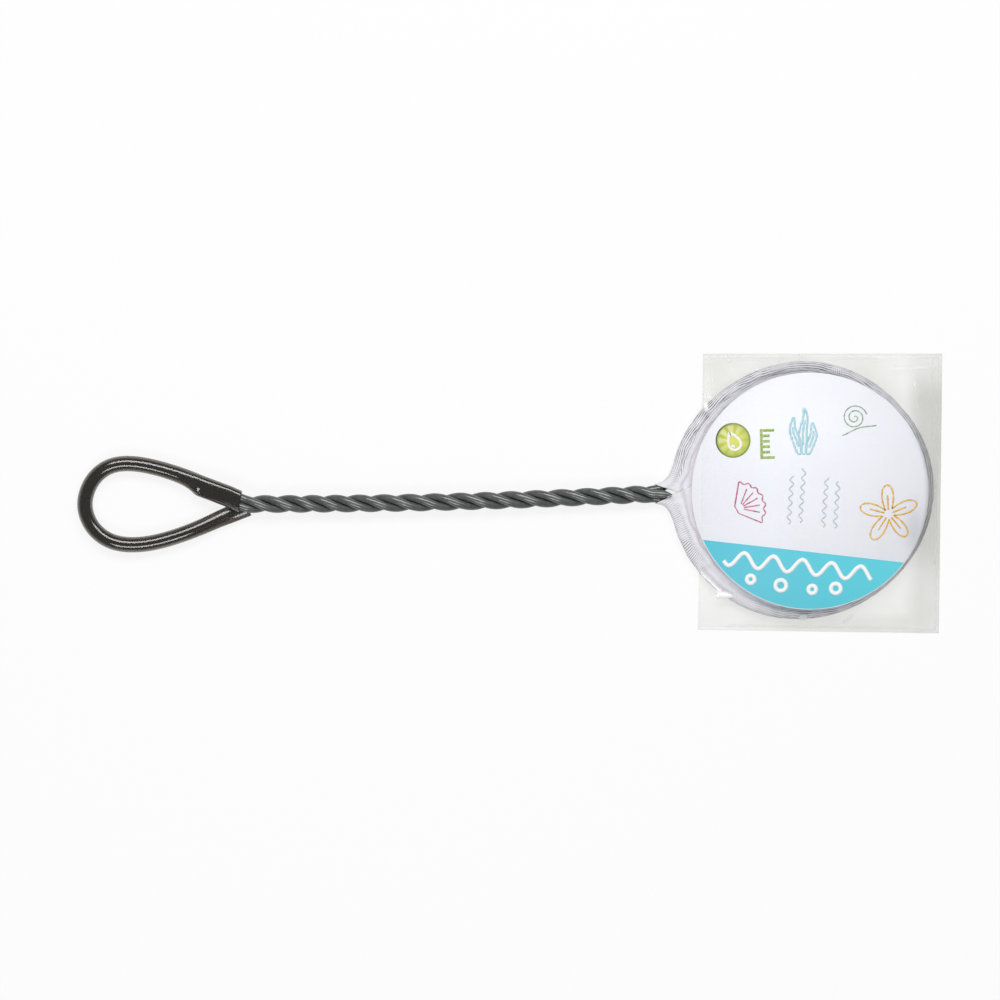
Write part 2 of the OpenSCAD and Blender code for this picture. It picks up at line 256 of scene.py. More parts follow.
def respaced(line, step):
    # the same line with evenly spaced points; columns after the third are carried along
    gone = travelled(line)
    even = np.linspace(0, gone[-1], max(2, round(gone[-1] / step)) + 1)
    return np.stack([np.interp(even, gone, line[:, k]) for k in range(line.shape[1])], -1), even


def bellWindow(reach):
    # weights of a mean over reach neighbours each way, falling off as a raised cosine
    window = np.hanning(2 * reach + 3)[1:-1]
    return window / window.sum()


def smoothed(line, reach):
    # running mean of the inner points over reach points each way; the ends stay
    padded = np.concatenate([
        2 * line[0] - line[reach:0:-1], line, 2 * line[-1] - line[-2:-reach - 2:-1]
    ])
    return np.stack([np.convolve(padded[:, k], bellWindow(reach), "valid") for k in range(3)], -1)


def roundedNose(line, step):
    # the two halves meet at the nose in a faint corner, which a running mean rounds off
    near = ease(*loop["noseNear"], np.linalg.norm(line - nose, axis=1))[:, None]
    return line + near * (smoothed(line, round(loop["noseRound"] / step)) - line)


def hiddenEnd():
    # the wire's end lies beside the upper half, from the third strand on
    share = np.linspace(loop["hiddenEnd"], 0, 40)
    line = halfLine(1, share)
    left = -directions(line)[1]
    part = ease(0, loop["cut"], share)[:, None]
    aside = strandAt(1.0, twist["upper"]) - strandAt(1.0, twist["lower"])
    return line + (1 - part) * aside + part * loop["sidePitch"] * left


def wireLine():
    # all parts of the route, one after the other
    share = np.linspace(0, 1, 500)
    half = np.linspace(0, 1, 200)
    tail = strandAt(0.0, twist["tail"])
    end = tail + tailEnd["length"] * np.array(tailEnd["way"])
    return np.concatenate([
        hiddenEnd(),
        strandAt(share[::-1], twist["upper"])[1:],
        hoopLine(wire["step"])[1:],
        strandAt(share, twist["lower"])[1:],
        halfLine(1, half)[1:],
        halfLine(-1, half[::-1])[1:],
        strandAt(share[::-1], twist["tail"])[1:],
        np.linspace(tail, end, 12)[1:],
    ])


# Meshes from grids of points

def gridFaces(rows, columns, around, first=0):
    # four-sided faces between neighbours of a grid, closed across its columns where around is true
    row, column = np.meshgrid(
        np.arange(rows - 1), np.arange(columns if around else columns - 1), indexing="ij"
    )
    nextColumn = (column + 1) % columns
    corners = [row * columns + column, row * columns + nextColumn,
               (row + 1) * columns + nextColumn, (row + 1) * columns + column]
    return np.stack([c.ravel() for c in corners], -1) + first


def makeMesh(name, points, faces, flatMap=None, mapName="clothMap", smooth=True):
    # points in metres, faces as arrays of corner numbers, flatMap as one place per point
    mesh = bpy.data.meshes.new(name)
    corners = np.concatenate([f.ravel() for f in faces]).astype(np.int32)
    sizes = np.concatenate([np.full(len(f), f.shape[1]) for f in faces])
    mesh.vertices.add(len(points))
    mesh.vertices.foreach_set("co", np.asarray(points, np.float32).ravel())
    mesh.loops.add(len(corners))
    mesh.loops.foreach_set("vertex_index", corners)
    mesh.polygons.add(len(sizes))
    mesh.polygons.foreach_set("loop_start", np.concatenate([[0], np.cumsum(sizes)[:-1]]).astype(np.int32))
    mesh.update(calc_edges=True)
    mesh.validate()
    if flatMap is not None:
        layer = mesh.uv_layers.new(name=mapName)
        layer.data.foreach_set("uv", np.asarray(flatMap, np.float32)[corners].ravel())
    if smooth:
        mesh.shade_smooth()
    piece = bpy.data.objects.new(name, mesh)
    bpy.context.scene.collection.objects.link(piece)
    return piece


def sweep(line, outline):
    # outline holds (left, up) for each point of the line, or one outline for all of them
    left, up = directions(line)[1:]
    outline = np.broadcast_to(outline, (len(line),) + np.shape(outline)[-2:])
    return line[:, None] + outline[..., :1] * left[:, None] + outline[..., 1:] * up[:, None]


def onCircle(angle):
    # cosine and sine as x and y
    return np.stack([np.cos(angle), np.sin(angle)], -1)


def circle(sides, radius=1.0):
    return radius * onCircle(np.linspace(0, 2 * np.pi, sides, endpoint=False))


def ringMap(rings, along):
    # distance along and around, in millimetres, for each point of swept rings
    around = np.linalg.norm(np.roll(rings, -1, 1) - rings, axis=-1)
    around = np.cumsum(around, 1) - around
    return np.stack([np.broadcast_to(along[:, None], around.shape), around], -1).reshape(-1, 2)


def fan(first, count, outward):
    # closes the end of a tube with one many-sided face
    face = np.arange(first, first + count)
    return (face if outward else face[::-1])[None]


def annulus(outer, outerCount, inner, innerCount, outward):
    # faces between an outer ring and an inner ring that may have fewer points
    i = np.arange(outerCount)
    j = (i + 1) % outerCount
    a = np.floor((i + 0.5) * innerCount / outerCount).astype(int)
    b = np.floor((j + 0.5) * innerCount / outerCount).astype(int)
    triangles = np.stack([outer + i, outer + j, inner + a], -1)
    wedge = a != b
    wedges = np.stack([outer + j, inner + b, inner + a], -1)[wedge]
    faces = np.concatenate([triangles, wedges])
    return faces if outward else faces[:, ::-1]


def makePipe(name, outer, inner, even):
    # a hollow swept piece: rings of its outside and of its bore, joined by a flat ring at both ends
    rows, sides = outer.shape[:2]
    bore = inner.shape[1]
    base = rows * sides
    return makeMesh(
        name,
        toMetres(np.concatenate([outer.reshape(-1, 3), inner.reshape(-1, 3)])),
        [
            gridFaces(rows, sides, True),
            gridFaces(rows, bore, True, base)[:, ::-1],
            annulus(0, sides, base, bore, False),
            annulus(base - sides, sides, base + (rows - 1) * bore, bore, True),
        ],
        np.concatenate([ringMap(outer, even), ringMap(inner, even)]),
        "wireMap",
    )


def thicken(piece, thickness):
    # a sheet gets its thickness, half of it on each side
    solid = piece.modifiers.new("thickness", "SOLIDIFY")
    solid.thickness = thickness * mm
    solid.offset = 0


def giveValues(piece, values):
    # one number per point under each name, for the materials to read
    for name, numbers in values.items():
        layer = piece.data.attributes.new(name, "FLOAT", "POINT")
        layer.data.foreach_set("value", numbers.ravel().astype(np.float32))


def finishPiece(piece, material, body, nodes=()):
    # the piece's looks, the body that it moves with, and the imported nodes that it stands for
    piece.data.materials.append(material)
    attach(piece, body)
    if nodes:
        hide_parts(*nodes)


# Materials. Scales on Object coordinates are per metre, those on the pieces' own maps per millimetre

def colour(hexValue):
    # sRGB hex to linear, as the sRGB curve says
    parts = [int(hexValue[i:i + 2], 16) / 255 for i in (1, 3, 5)]
    return tuple(p / 12.92 if p <= 0.04045 else ((p + 0.055) / 1.055) ** 2.4 for p in parts) + (1.0,)


def addNode(tree, kind, values=None):
    # values holds settings, constants for sockets, and sockets or nodes (their first output) to link;
    # stops are the places and hex colours of a colour ramp
    node = tree.nodes.new("ShaderNode" + kind)
    for name, value in (values or {}).items():
        if isinstance(value, bpy.types.Node):
            value = value.outputs[0]
        if isinstance(value, str) and value.startswith("#"):
            value = colour(value)
        if name == "stops":
            elements = node.color_ramp.elements
            while len(elements) < len(value):
                elements.new(0.5)
            for element, (place, hexValue) in zip(elements, value):
                element.position = place
                element.color = colour(hexValue)
        elif isinstance(value, bpy.types.NodeSocket):
            tree.links.new(value, node.inputs[name])
        elif isinstance(name, int) or name in node.inputs:
            node.inputs[name].default_value = value
        else:
            setattr(node, name, value)
    return node


def nodeAdder(owner):
    # empties the owner's node tree and returns addNode for it
    owner.use_nodes = True
    owner.node_tree.nodes.clear()
    return partial(addNode, owner.node_tree)


def newMaterial(name, recipe, *values):
    # recipe adds the nodes and returns the last shader
    material = bpy.data.materials.new(name)
    add = nodeAdder(material)
    add("OutputMaterial", {"Surface": recipe(add, *values)})
    return material


def softPvcCoating(add):
    # Plasticised PVC extruded on wire: satin, with faint draw lines along the wire, 0.4 mm apart, and
    # handling marks 2.4 mm wide
    along = add("Mapping", {"Scale": (0.12, 2.6, 1), "Vector": add("UVMap", {"uv_map": "wireMap"})})
    lines = add("TexNoise", {"Scale": 1.0, "Detail": 3.0, "Vector": along})
    own = add("TexCoord").outputs["Object"]
    marks = add("TexNoise", {"Scale": 420.0, "Detail": 4.0, "Roughness": 0.6, "Vector": own})
    tone = add("ValToRGB", {"Fac": marks, "stops": [(0.3, "#404342"), (0.55, "#4f5351"), (0.8, "#606462")]})
    handled = add("MapRange", {
        "From Min": 0.3, "From Max": 0.7, "To Min": 0.21, "To Max": 0.3, "Value": lines
    })
    # inside the tube the coating sticks to the wall and has no gloss of its own
    inside = add("Attribute", {"attribute_name": "inside"}).outputs["Fac"]
    rough = add("Mix", {"data_type": "FLOAT", 0: inside, 2: handled, 3: 0.65})
    # the coating was squeezed in the twisting: shallow waves 3 mm long break its highlights up
    waves = add("TexNoise", {"Scale": 330.0, "Detail": 1.0, "Vector": own})
    swell = add("Bump", {"Strength": 0.5, "Distance": 0.00022, "Height": waves})
    bump = add("Bump", {"Strength": 0.1, "Distance": 0.00006, "Height": lines, "Normal": swell})
    return add("BsdfPrincipled", {
        "IOR": 1.53, "Specular IOR Level": 1.0, "Base Color": tone, "Roughness": rough, "Normal": bump
    })


def drawnSteel(add):
    # Bright drawn mild steel, bare only where the wire was sheared off, with a grain of 0.4 mm
    grain = add("TexNoise", {"Scale": 2500.0, "Detail": 3.0, "Vector": add("TexCoord").outputs["Object"]})
    tone = add("ValToRGB", {"Fac": grain, "stops": [(0.3, "#6f6f6d"), (0.7, "#a3a29f")]})
    rough = add("MapRange", {"To Min": 0.3, "To Max": 0.5, "Value": grain})
    bump = add("Bump", {"Strength": 0.4, "Distance": 0.00005, "Height": grain})
    return add("BsdfPrincipled", {"Metallic": 1.0, "Base Color": tone, "Roughness": rough, "Normal": bump})


def smokedPvcTube(add):
    # Clear flexible PVC tube with a smoke-brown tint, extruded: very glossy, thick walled, with faint bands
    # of tint about 1 mm wide along it
    along = add("Mapping", {"Scale": (0.05, 0.9, 1), "Vector": add("UVMap", {"uv_map": "wireMap"})})
    lines = add("TexNoise", {"Scale": 1.0, "Detail": 2.0, "Vector": along})
    tone = add("ValToRGB", {"Fac": lines, "stops": [(0.3, "#4e473e"), (0.7, "#5b534a")]})
    shader = add("BsdfPrincipled", {
        "Roughness": 0.12, "IOR": 1.53, "Transmission Weight": 0.95, "Specular IOR Level": 0.9,
        "Coat Weight": 1.0, "Coat Roughness": 0.08, "Coat IOR": 1.42, "Base Color": tone
    })
    # rays from lamps pass straight through, tinted, so that what lies inside is lit
    clear = add("BsdfTransparent", {"Color": "#7a7063"})
    return add("MixShader", {"Fac": add("LightPath").outputs["Is Shadow Ray"], 1: shader, 2: clear})


def knitNylon(add):
    # White warp-knit nylon sleeve: pale rows of fine loops with thin shaded gaps between them, which show
    # more where the cloth is pulled taut and where painted shade darkens the band; rows are really 0.4 mm
    # apart and drawn at 0.8 mm, to show
    place = add("UVMap", {"uv_map": "clothMap"})
    wander = add("TexNoise", {"Scale": 0.09, "Detail": 2.0, "Vector": place}).outputs["Color"]
    bent = add("VectorMath", {"operation": "MULTIPLY_ADD", 0: wander, 1: (3.0, 3.0, 0), 2: place})
    turned = add("Mapping", {"Rotation": (0, 0, math.radians(78)), "Vector": bent})
    # a wave texture of scale s repeats every pi / (10 s)
    rows, courses = (
        add("TexWave", {
            "wave_type": "BANDS", "bands_direction": "Y", "Scale": math.pi / 10 / apart, "Distortion": 0.35,
            "Detail": 1.0, "Detail Scale": 0.6, "Vector": way
        }).outputs["Fac"]
        for apart, way in ((0.85, bent), (0.8, turned))
    )
    # values stored on the sleeve for each of its points, painted shade among them
    tight, crossed, sheer, seam, flush = (
        add("Attribute", {"attribute_name": name}).outputs["Fac"]
        for name in ("tight", "crossed", "sheer", "seam", "flush")
    )
    knit = add("Mix", {"data_type": "FLOAT", 0: crossed, 2: rows, 3: courses})
    gap = add("ValToRGB", {"Fac": knit, "stops": [(0.0, "#000000"), (0.25, "#8a8a8a"), (0.55, "#ffffff")]})
    patchy = add("TexNoise", {"Scale": 0.22, "Detail": 2.0, "Vector": place})
    spread = add("MapRange", {"From Min": 0.36, "From Max": 0.62, "To Min": 0.35, "Value": patchy})
    # painted shade: this value darkens the gaps, and so the whole band, by its place round the hoop
    depth = add("Math", {"operation": "MULTIPLY", 0: tight, 1: spread})
    hue = add("TexNoise", {"Scale": 0.3, "Detail": 1.0, "Vector": place})
    pale = add("ValToRGB", {"Fac": hue, "stops": [(0.35, "#f4f3fa"), (0.7, "#f7f5fa")]})
    shaded = add("ValToRGB", {"Fac": gap, "stops": [(0.0, "#363541"), (1.0, "#f8f7fc")]})
    tone = add("Mix", {"data_type": "RGBA", 0: depth, 6: pale, 7: shaded}).outputs[2]
    # where the cloth is stretched thin over the dark wire it looks greyer, and painted shade greys it further
    # in places; the seam is a thin shaded line, and the folded edge beyond it shows a faint pink
    for share, hexValue in ((sheer, "#77757f"), (seam, "#8d8794"), (flush, "#f2dde6")):
        tone = add("Mix", {"data_type": "RGBA", 0: share, 6: tone, 7: hexValue}).outputs[2]
    bump = add("Bump", {"Strength": 0.35, "Distance": 0.0001, "Height": knit})
    shader = add("BsdfPrincipled", {
        "Roughness": 0.62, "IOR": 1.5, "Sheen Weight": 0.15, "Sheen Roughness": 0.4, "Base Color": tone,
        "Normal": bump
    })
    glow = add("BsdfTranslucent", {"Color": tone, "Normal": bump})
    return add("MixShader", {"Fac": 0.12, 1: shader, 2: glow})


def meshNylon(add):
    # Soft fine nylon mesh of the bag: hexagonal holes, really about 0.5 mm wide, drawn at 0.9 mm to show; the
    # holes are not cut but painted grey, as painted shade of what lies behind them
    place = add("UVMap", {"uv_map": "clothMap"})
    cells = add("TexVoronoi", {
        "feature": "DISTANCE_TO_EDGE", "Scale": 1 / 0.9, "Randomness": 0.15, "Vector": place
    }).outputs["Distance"]
    # painted shade: grey in the middle of each cell stands for the shaded inside of the bag seen through the
    # hole
    tone = add("ValToRGB", {"Fac": cells, "stops": [(0.0, "#fafafc"), (0.22, "#ebebf0"), (0.4, "#c8c8d2")]})
    bump = add("Bump", {"Strength": 0.6, "Distance": 0.0001, "invert": True, "Height": cells})
    shader = add("BsdfPrincipled", {
        "Roughness": 0.6, "IOR": 1.5, "Sheen Weight": 0.15, "Base Color": tone, "Normal": bump
    })
    glow = add("BsdfTranslucent", {"Color": tone, "Normal": bump})
    return add("MixShader", {"Fac": 0.4, 1: shader, 2: glow})


def sewingThread(add):
    # Spun polyester thread: matt white, with a fuzz of 0.17 mm
    fuzz = add("TexNoise", {"Scale": 6000.0, "Detail": 2.0, "Vector": add("TexCoord").outputs["Object"]})
    tone = add("ValToRGB", {"Fac": fuzz, "stops": [(0.3, "#e4e4e8"), (0.7, "#fafafa")]})
    bump = add("Bump", {"Strength": 0.4, "Distance": 0.00003, "Height": fuzz})
    return add("BsdfPrincipled", {"Roughness": 0.8, "Base Color": tone, "Normal": bump})


# Card: its print is a turquoise foot below a chord and a plain green disc
card = {
    "diameter": 91.5,
    "thickness": 0.4,
    "middle": (1.75, -0.9),    # from the middle of the hoop
    "bottom": 7.2,
    "footDistance": 23.3,      # from the card's middle to the chord
    "footTurn": -7.8,          # degrees
    "disc": (-29.3, 20.3),     # middle of the green disc
    "discRadius": 6.75,
    "discFacets": 9,
    "margin": 0.3,             # left unprinted along the rim
    "bevel": 0.06,
    "ink": 0.015,
    "inkGap": 0.005,           # under the ink, and between lines that cross
    "inkStep": 0.004,
    "sides": 240,
}


def coatedCard(add):
    # White coated board, offset printed and varnished: smooth, half gloss, with soft print gradients and
    # paper fibres about 1 mm long
    middle = toMetres([card["middle"][0], card["middle"][1], 0])
    turn = math.radians(card["footTurn"])
    place = add("TexCoord").outputs["Object"]
    own = add("Mapping", {
        "vector_type": "TEXTURE", "Location": tuple(middle), "Scale": (mm, mm, mm), "Vector": place
    })
    ownParts = add("SeparateXYZ", {0: own})
    across = add("VectorMath", {
        "operation": "DOT_PRODUCT", 0: own, 1: (math.sin(turn), -math.cos(turn), 0)
    }).outputs["Value"]
    onFoot = add("Math", {"operation": "GREATER_THAN", 0: across, 1: card["footDistance"]})
    # painted light: the foot grows lighter to the right to even out the lamps' falloff across the card
    footPlace = add("MapRange", {"From Min": -40.0, "From Max": 40.0, "Value": ownParts})
    foot = add("ValToRGB", {
        "Fac": footPlace, "stops": [(0.0, "#5acee3"), (0.5, "#5cd6e8"), (1.0, "#6ce6f5")]
    })
    fromDisc = add("SeparateXYZ", {
        0: add("VectorMath", {"operation": "SUBTRACT", 0: own, 1: card["disc"] + (0,)})
    })
    discPlace = add("CombineXYZ", {"X": fromDisc, "Y": fromDisc.outputs[1]})
    away = add("VectorMath", {"operation": "LENGTH", 0: discPlace}).outputs["Value"]
    onDisc = add("Math", {"operation": "LESS_THAN", 0: away, 1: card["discRadius"]})
    discShare = add("MapRange", {"From Max": card["discRadius"], "Value": away})
    disc = add("ValToRGB", {"Fac": discShare, "stops": [
        (0.0, "#dfe24a"), (0.5, "#cfd53f"), (0.84, "#b2bf3c"), (1.0, "#94a43a")
    ]})
    # facets: the print of a cut glass button, pale and dark sectors in turn, lit from its upper left
    heading = add("Math", {"operation": "ARCTAN2", 0: fromDisc.outputs[1], 1: fromDisc})
    sectors = add("Math", {"operation": "MULTIPLY", 0: heading, 1: card["discFacets"] / (2 * math.pi)})
    sector = add("Math", {"operation": "PINGPONG", 0: sectors, 1: 0.5})
    facet = add("ValToRGB", {"Fac": sector, "stops": [(0.1, "#b9c138"), (0.3, "#f2f3c8")]})
    lit, aside = (
        add("VectorMath", {"operation": "DOT_PRODUCT", 0: discPlace, 1: way}).outputs["Value"]
        for way in ((-0.12, 0.1, 0), (-0.145, 0.03, 0))
    )
    litShare = add("MapRange", {
        "From Min": -0.4, "From Max": 0.9, "To Min": 0.15, "To Max": 0.62, "Value": lit
    })
    withinRim = add("MapRange", {
        "From Min": 0.8, "From Max": 0.92, "To Min": 1.0, "To Max": 0.0, "Value": discShare
    })
    facetShare = add("Math", {"operation": "MULTIPLY", 0: litShare, 1: withinRim})
    # its rim is dark on the left and thin elsewhere
    discRim = add("ValToRGB", {"Fac": aside, "stops": [(0.25, "#7f8f35"), (0.8, "#36402c")]})
    onDiscRim = add("MapRange", {"From Min": 0.9, "From Max": 0.95, "Value": discShare})
    fibre = add("TexNoise", {"Scale": 900.0, "Detail": 4.0, "Vector": place})
    paper = add("ValToRGB", {"Fac": fibre, "stops": [(0.3, "#eff1f8"), (0.7, "#f4f6fc")]})
    flatOwn = add("CombineXYZ", {"X": ownParts, "Y": ownParts.outputs[1]})
    reach = add("VectorMath", {"operation": "LENGTH", 0: flatOwn}).outputs["Value"]
    onMargin = add("Math", {"operation": "GREATER_THAN", 0: reach, 1: card["diameter"] / 2 - card["margin"]})
    # each print is laid over the one before by its share
    for share, over in ((facetShare, facet), (onDiscRim, discRim)):
        disc = add("Mix", {"data_type": "RGBA", 0: share, 6: disc, 7: over}).outputs[2]
    tone = paper
    for share, over in ((onFoot, foot), (onDisc, disc), (onMargin, paper)):
        tone = add("Mix", {"data_type": "RGBA", 0: share, 6: tone, 7: over}).outputs[2]
    bump = add("Bump", {"Strength": 0.12, "Distance": 0.00002, "Height": fibre})
    return add("BsdfPrincipled", {"Roughness": 0.48, "IOR": 1.5, "Base Color": tone, "Normal": bump})


def printInk(add, hexValue):
    # Offset ink line: matt, grainy as the crayon drawing that it prints, its grain 0.7 mm
    screen = add("TexNoise", {"Scale": 1500.0, "Detail": 1.0, "Vector": add("TexCoord").outputs["Object"]})
    pale = "#" + "".join("%02x" % round(int(hexValue[i:i + 2], 16) * 0.6 + 255 * 0.4) for i in (1, 3, 5))
    tone = add("ValToRGB", {"Fac": screen, "stops": [(0.4, hexValue), (0.66, pale)]})
    return add("BsdfPrincipled", {"Roughness": 0.45, "Base Color": tone})


def polypropyleneFilm(add, haze, hexHaze, hexTint):
    # Cast polypropylene film: clear, high gloss, very thin, with painted white highlights along its creases
    # and painted shade where it is darkened over the flap, hazy from handling, in clouds of 30 mm and fine
    # dents of 6 mm
    own = add("TexCoord").outputs["Object"]
    layers, creased = (
        add("Attribute", {"attribute_name": name}).outputs["Fac"] for name in ("layers", "creased")
    )
    cloud = add("TexNoise", {"Scale": 34.0, "Detail": 3.0, "Vector": own})
    tint = add("ValToRGB", {"Fac": cloud, "stops": [(0.3, hexTint), (0.7, "#ffffff")]})
    # painted shade: this value darkens what passes through the film
    deep = add("Mix", {"data_type": "RGBA", 0: layers, 6: tint, 7: "#f0f0ef"})
    clear = add("BsdfTransparent", {"Color": deep.outputs[2]})
    fine = add("TexNoise", {"Scale": 160.0, "Detail": 3.0, "Vector": own})
    bump = add("Bump", {"Strength": 0.3, "Distance": 0.0002, "Height": fine})
    hazeTone = add("ValToRGB", {"Fac": cloud, "stops": [(0.3, hexHaze), (0.7, "#f0f0ef")]})
    # painted highlight: white is mixed into the gloss along creases and pleats, and raises the gloss's share
    # there
    glintTone = add("Mix", {"data_type": "RGBA", 0: creased, 6: hazeTone, 7: "#ffffff"})
    gloss = add("BsdfPrincipled", {
        "Roughness": 0.07, "IOR": 1.49, "Specular IOR Level": 0.5, "Base Color": glintTone.outputs[2],
        "Normal": bump
    })
    # from the haze to nearly full reflection by the fourth power of facing, alike from both sides
    facing = add("LayerWeight", {"Blend": 0.5, "Normal": bump}).outputs["Facing"]
    power = add("Math", {"operation": "POWER", 0: facing, 1: 4.0})
    share = add("MapRange", {"To Min": haze, "To Max": 0.8, "Value": power})
    whole = add("Math", {"operation": "MAXIMUM", 0: share, 1: creased})
    return add("MixShader", {"Fac": whole, 1: clear, 2: gloss})


materials = {
    "coating": newMaterial("soft_pvc_coating_extruded", softPvcCoating),
    "steel": newMaterial("mild_steel_drawn", drawnSteel),
    "tube": newMaterial("smoked_pvc_tube_extruded", smokedPvcTube),
    "knit": newMaterial("white_nylon_warp_knit", knitNylon),
    "mesh": newMaterial("white_nylon_fine_mesh", meshNylon),
    "thread": newMaterial("white_polyester_thread", sewingThread),
    "card": newMaterial("white_coated_board_printed", coatedCard),
    "front": newMaterial("clear_polypropylene_film_front", polypropyleneFilm, 0.01, "#e6e6e5", "#fefefe"),
    "back": newMaterial("clear_polypropylene_film_back", polypropyleneFilm, 0.1, "#e0e0dd", "#fafaf8"),
}
print("materials made")


# Wire: the coating and its steel core, both pinched at the ends

pinch = {"length": 2.9, "width": 0.1, "coreOut": 0.22}


def pinched(outline, even):
    # side cutters pinch both ends of the wire to an upright edge: the width falls off towards the end
    toEnd = np.minimum(even, even[-1] - even)
    share = np.clip(toEnd / pinch["length"], 0, 1)
    width = pinch["width"] + (1 - pinch["width"]) * share ** 0.8
    return outline[None] * np.stack([width, 1.04 - 0.04 * share], -1)[:, None]


def makeWire():
    # circles swept along the route: the coating's outside and bore, and the core in it
    line, even = respaced(wireLine(), wire["step"])
    line = roundedNose(smoothed(line, 2), wire["step"])
    outer = sweep(line, pinched(circle(wire["sides"], wire["diameter"] / 2), even))
    inner = sweep(line, pinched(circle(wire["boreSides"], wire["coreDiameter"] / 2), even))
    coating = makePipe("wire_coating", outer, inner, even)
    cutX = halfLine(1, np.array([loop["cut"]]))[0, 0]
    x = np.concatenate([outer[..., 0].ravel(), inner[..., 0].ravel()])
    giveValues(coating, {"inside": ease(cutX + 0.3, cutX - 0.7, x)})
    finishPiece(coating, materials["coating"], "net", [
        "hoop_coating", "upper_strand_coating", "lower_strand_coating", "tail_strand_coating", "loop_coating"
    ])
    # the core shows as a thin bright edge just past the coating's pinched ends; between them every second
    # ring is enough
    out = pinch["coreOut"] * directions(line)[0]
    core = np.concatenate([line[:1] - out[:1], line, line[-1:] + out[-1:]])
    rows = len(core)
    kept = np.unique(np.concatenate([np.arange(7), np.arange(7, rows - 9, 2), np.arange(rows - 7, rows)]))
    sides = wire["coreSides"]
    outline = circle(sides, wire["coreDiameter"] / 2 - wire["coreGap"])
    rings = sweep(core, pinched(outline, travelled(core)))[kept]
    piece = makeMesh("steel_core_wire", toMetres(rings.reshape(-1, 3)), [
        gridFaces(len(kept), sides, True), fan(0, sides, False), fan((len(kept) - 1) * sides, sides, True)
    ])
    finishPiece(piece, materials["steel"], "net", ["steel_core"])
    print("wire made,", round(even[-1]), "mm long")


# Grip tube: one tube that is wide over two wires, round, and flat at its lower end

def makeTube():
    # one tube that changes along its way; columns after the place: share of the double section, roundness
    # and how far the lower end is pressed flat
    upper = np.linspace(loop["cut"], 1, 300)
    lower = np.linspace(1, tube["end"], 300)[1:]
    upperLine = halfLine(1, upper)
    gone = travelled(upperLine)
    past = gone - np.interp(loop["hiddenEnd"] + 0.004, upper, gone)
    double = np.where(past < 0, 1, np.exp(-np.clip(past, 0, None) / tube["stretchFall"]))
    double = double * ease(*tube["closed"], past)
    line, even = respaced(np.concatenate([
        np.column_stack([upperLine, double, upper * 0 + 1, upper * 0]),
        np.column_stack([
            halfLine(-1, lower), lower * 0, ease(*loop["flat"], lower), ease(tube["pressed"], 0, lower)
        ]),
    ]), tube["step"])
    double, roundness, pressed = line[:, 3:].T
    endAt = np.interp(loop["hiddenEnd"], upper, gone) - gone[0] - 0.6
    double = np.convolve(np.pad(double, 2, mode="edge"), np.full(5, 0.2), "valid")
    line = roundedNose(line[:, :3], tube["step"])
    wide = wire["diameter"] / 2 + tube["doubleWall"]
    width = (roundness * tube["diameter"] + (1 - roundness) * tube["flatWidth"]) / 2
    height = (roundness * tube["diameter"] + (1 - roundness) * tube["flatHeight"]) / 2
    width = (width * (1 - double) + wide * double + tube["pressedWidth"] * pressed)[:, None]
    height = (height * (1 - double) + wide * double)[:, None]
    off = (tube["off"] * double + tube["pressedOff"] * pressed)[:, None]
    rim = np.ones((len(line), 1))
    rim[[0, -1]] = tube["rim"]
    double = double[:, None]
    nearEnd = np.exp(-((even - endAt) / tube["knobSize"][1]) ** 2)[:, None]

    def outline(corners, across, up, rim):
        # a stretched ring: its inner half stands aside by the pitch of the two wires, a shallow valley
        # runs between them, and the hidden wire shows as a ridge with a knob at its end
        q, r = corners[None, :, 0], corners[None, :, 1]
        x = q * across * rim + loop["sidePitch"] * double * ease(-0.45, 0.45, q) - off
        valley, ridge, knob = (
            np.exp(-((x - at) / size) ** 2) for at, size in (
                (tube["valleyAt"], tube["valleyWidth"]), (tube["ridgeAt"], tube["ridgeWidth"]),
                (tube["knobAt"], tube["knobSize"][0])
            )
        )
        lift = (tube["knob"] * (knob * nearEnd) + tube["ridge"] * double * ridge) * (r > 0)
        lift = lift - tube["valley"] * double * valley * np.sign(r)
        return np.stack([x, r * up * rim + lift], -1)

    boreUp = np.full((len(line), 1), tube["bore"] / 2)
    outer = outline(circle(tube["sides"]), width, height, rim)
    inner = outline(circle(tube["boreSides"]), np.maximum(width - tube["wall"], boreUp), boreUp, 1)
    # the cut end over the two wires leans back
    lean = (tube["lean"] * np.exp(-even / tube["leanFall"]))[:, None]
    along = directions(line)[0][:, None]
    rings = []
    for part in (outer, inner):
        share = (part[..., 0] - tube["leanFrom"]) / tube["leanWidth"]
        rings.append(sweep(line, part) - (lean * share)[..., None] * along)
    piece = makePipe("grip_tube_sleeve", *rings, even)
    finishPiece(piece, materials["tube"], "net", ["grip_tube"])
    print("grip tube made")


# Header band: a knitted sleeve round the hoop wire whose two layers are sewn together inside

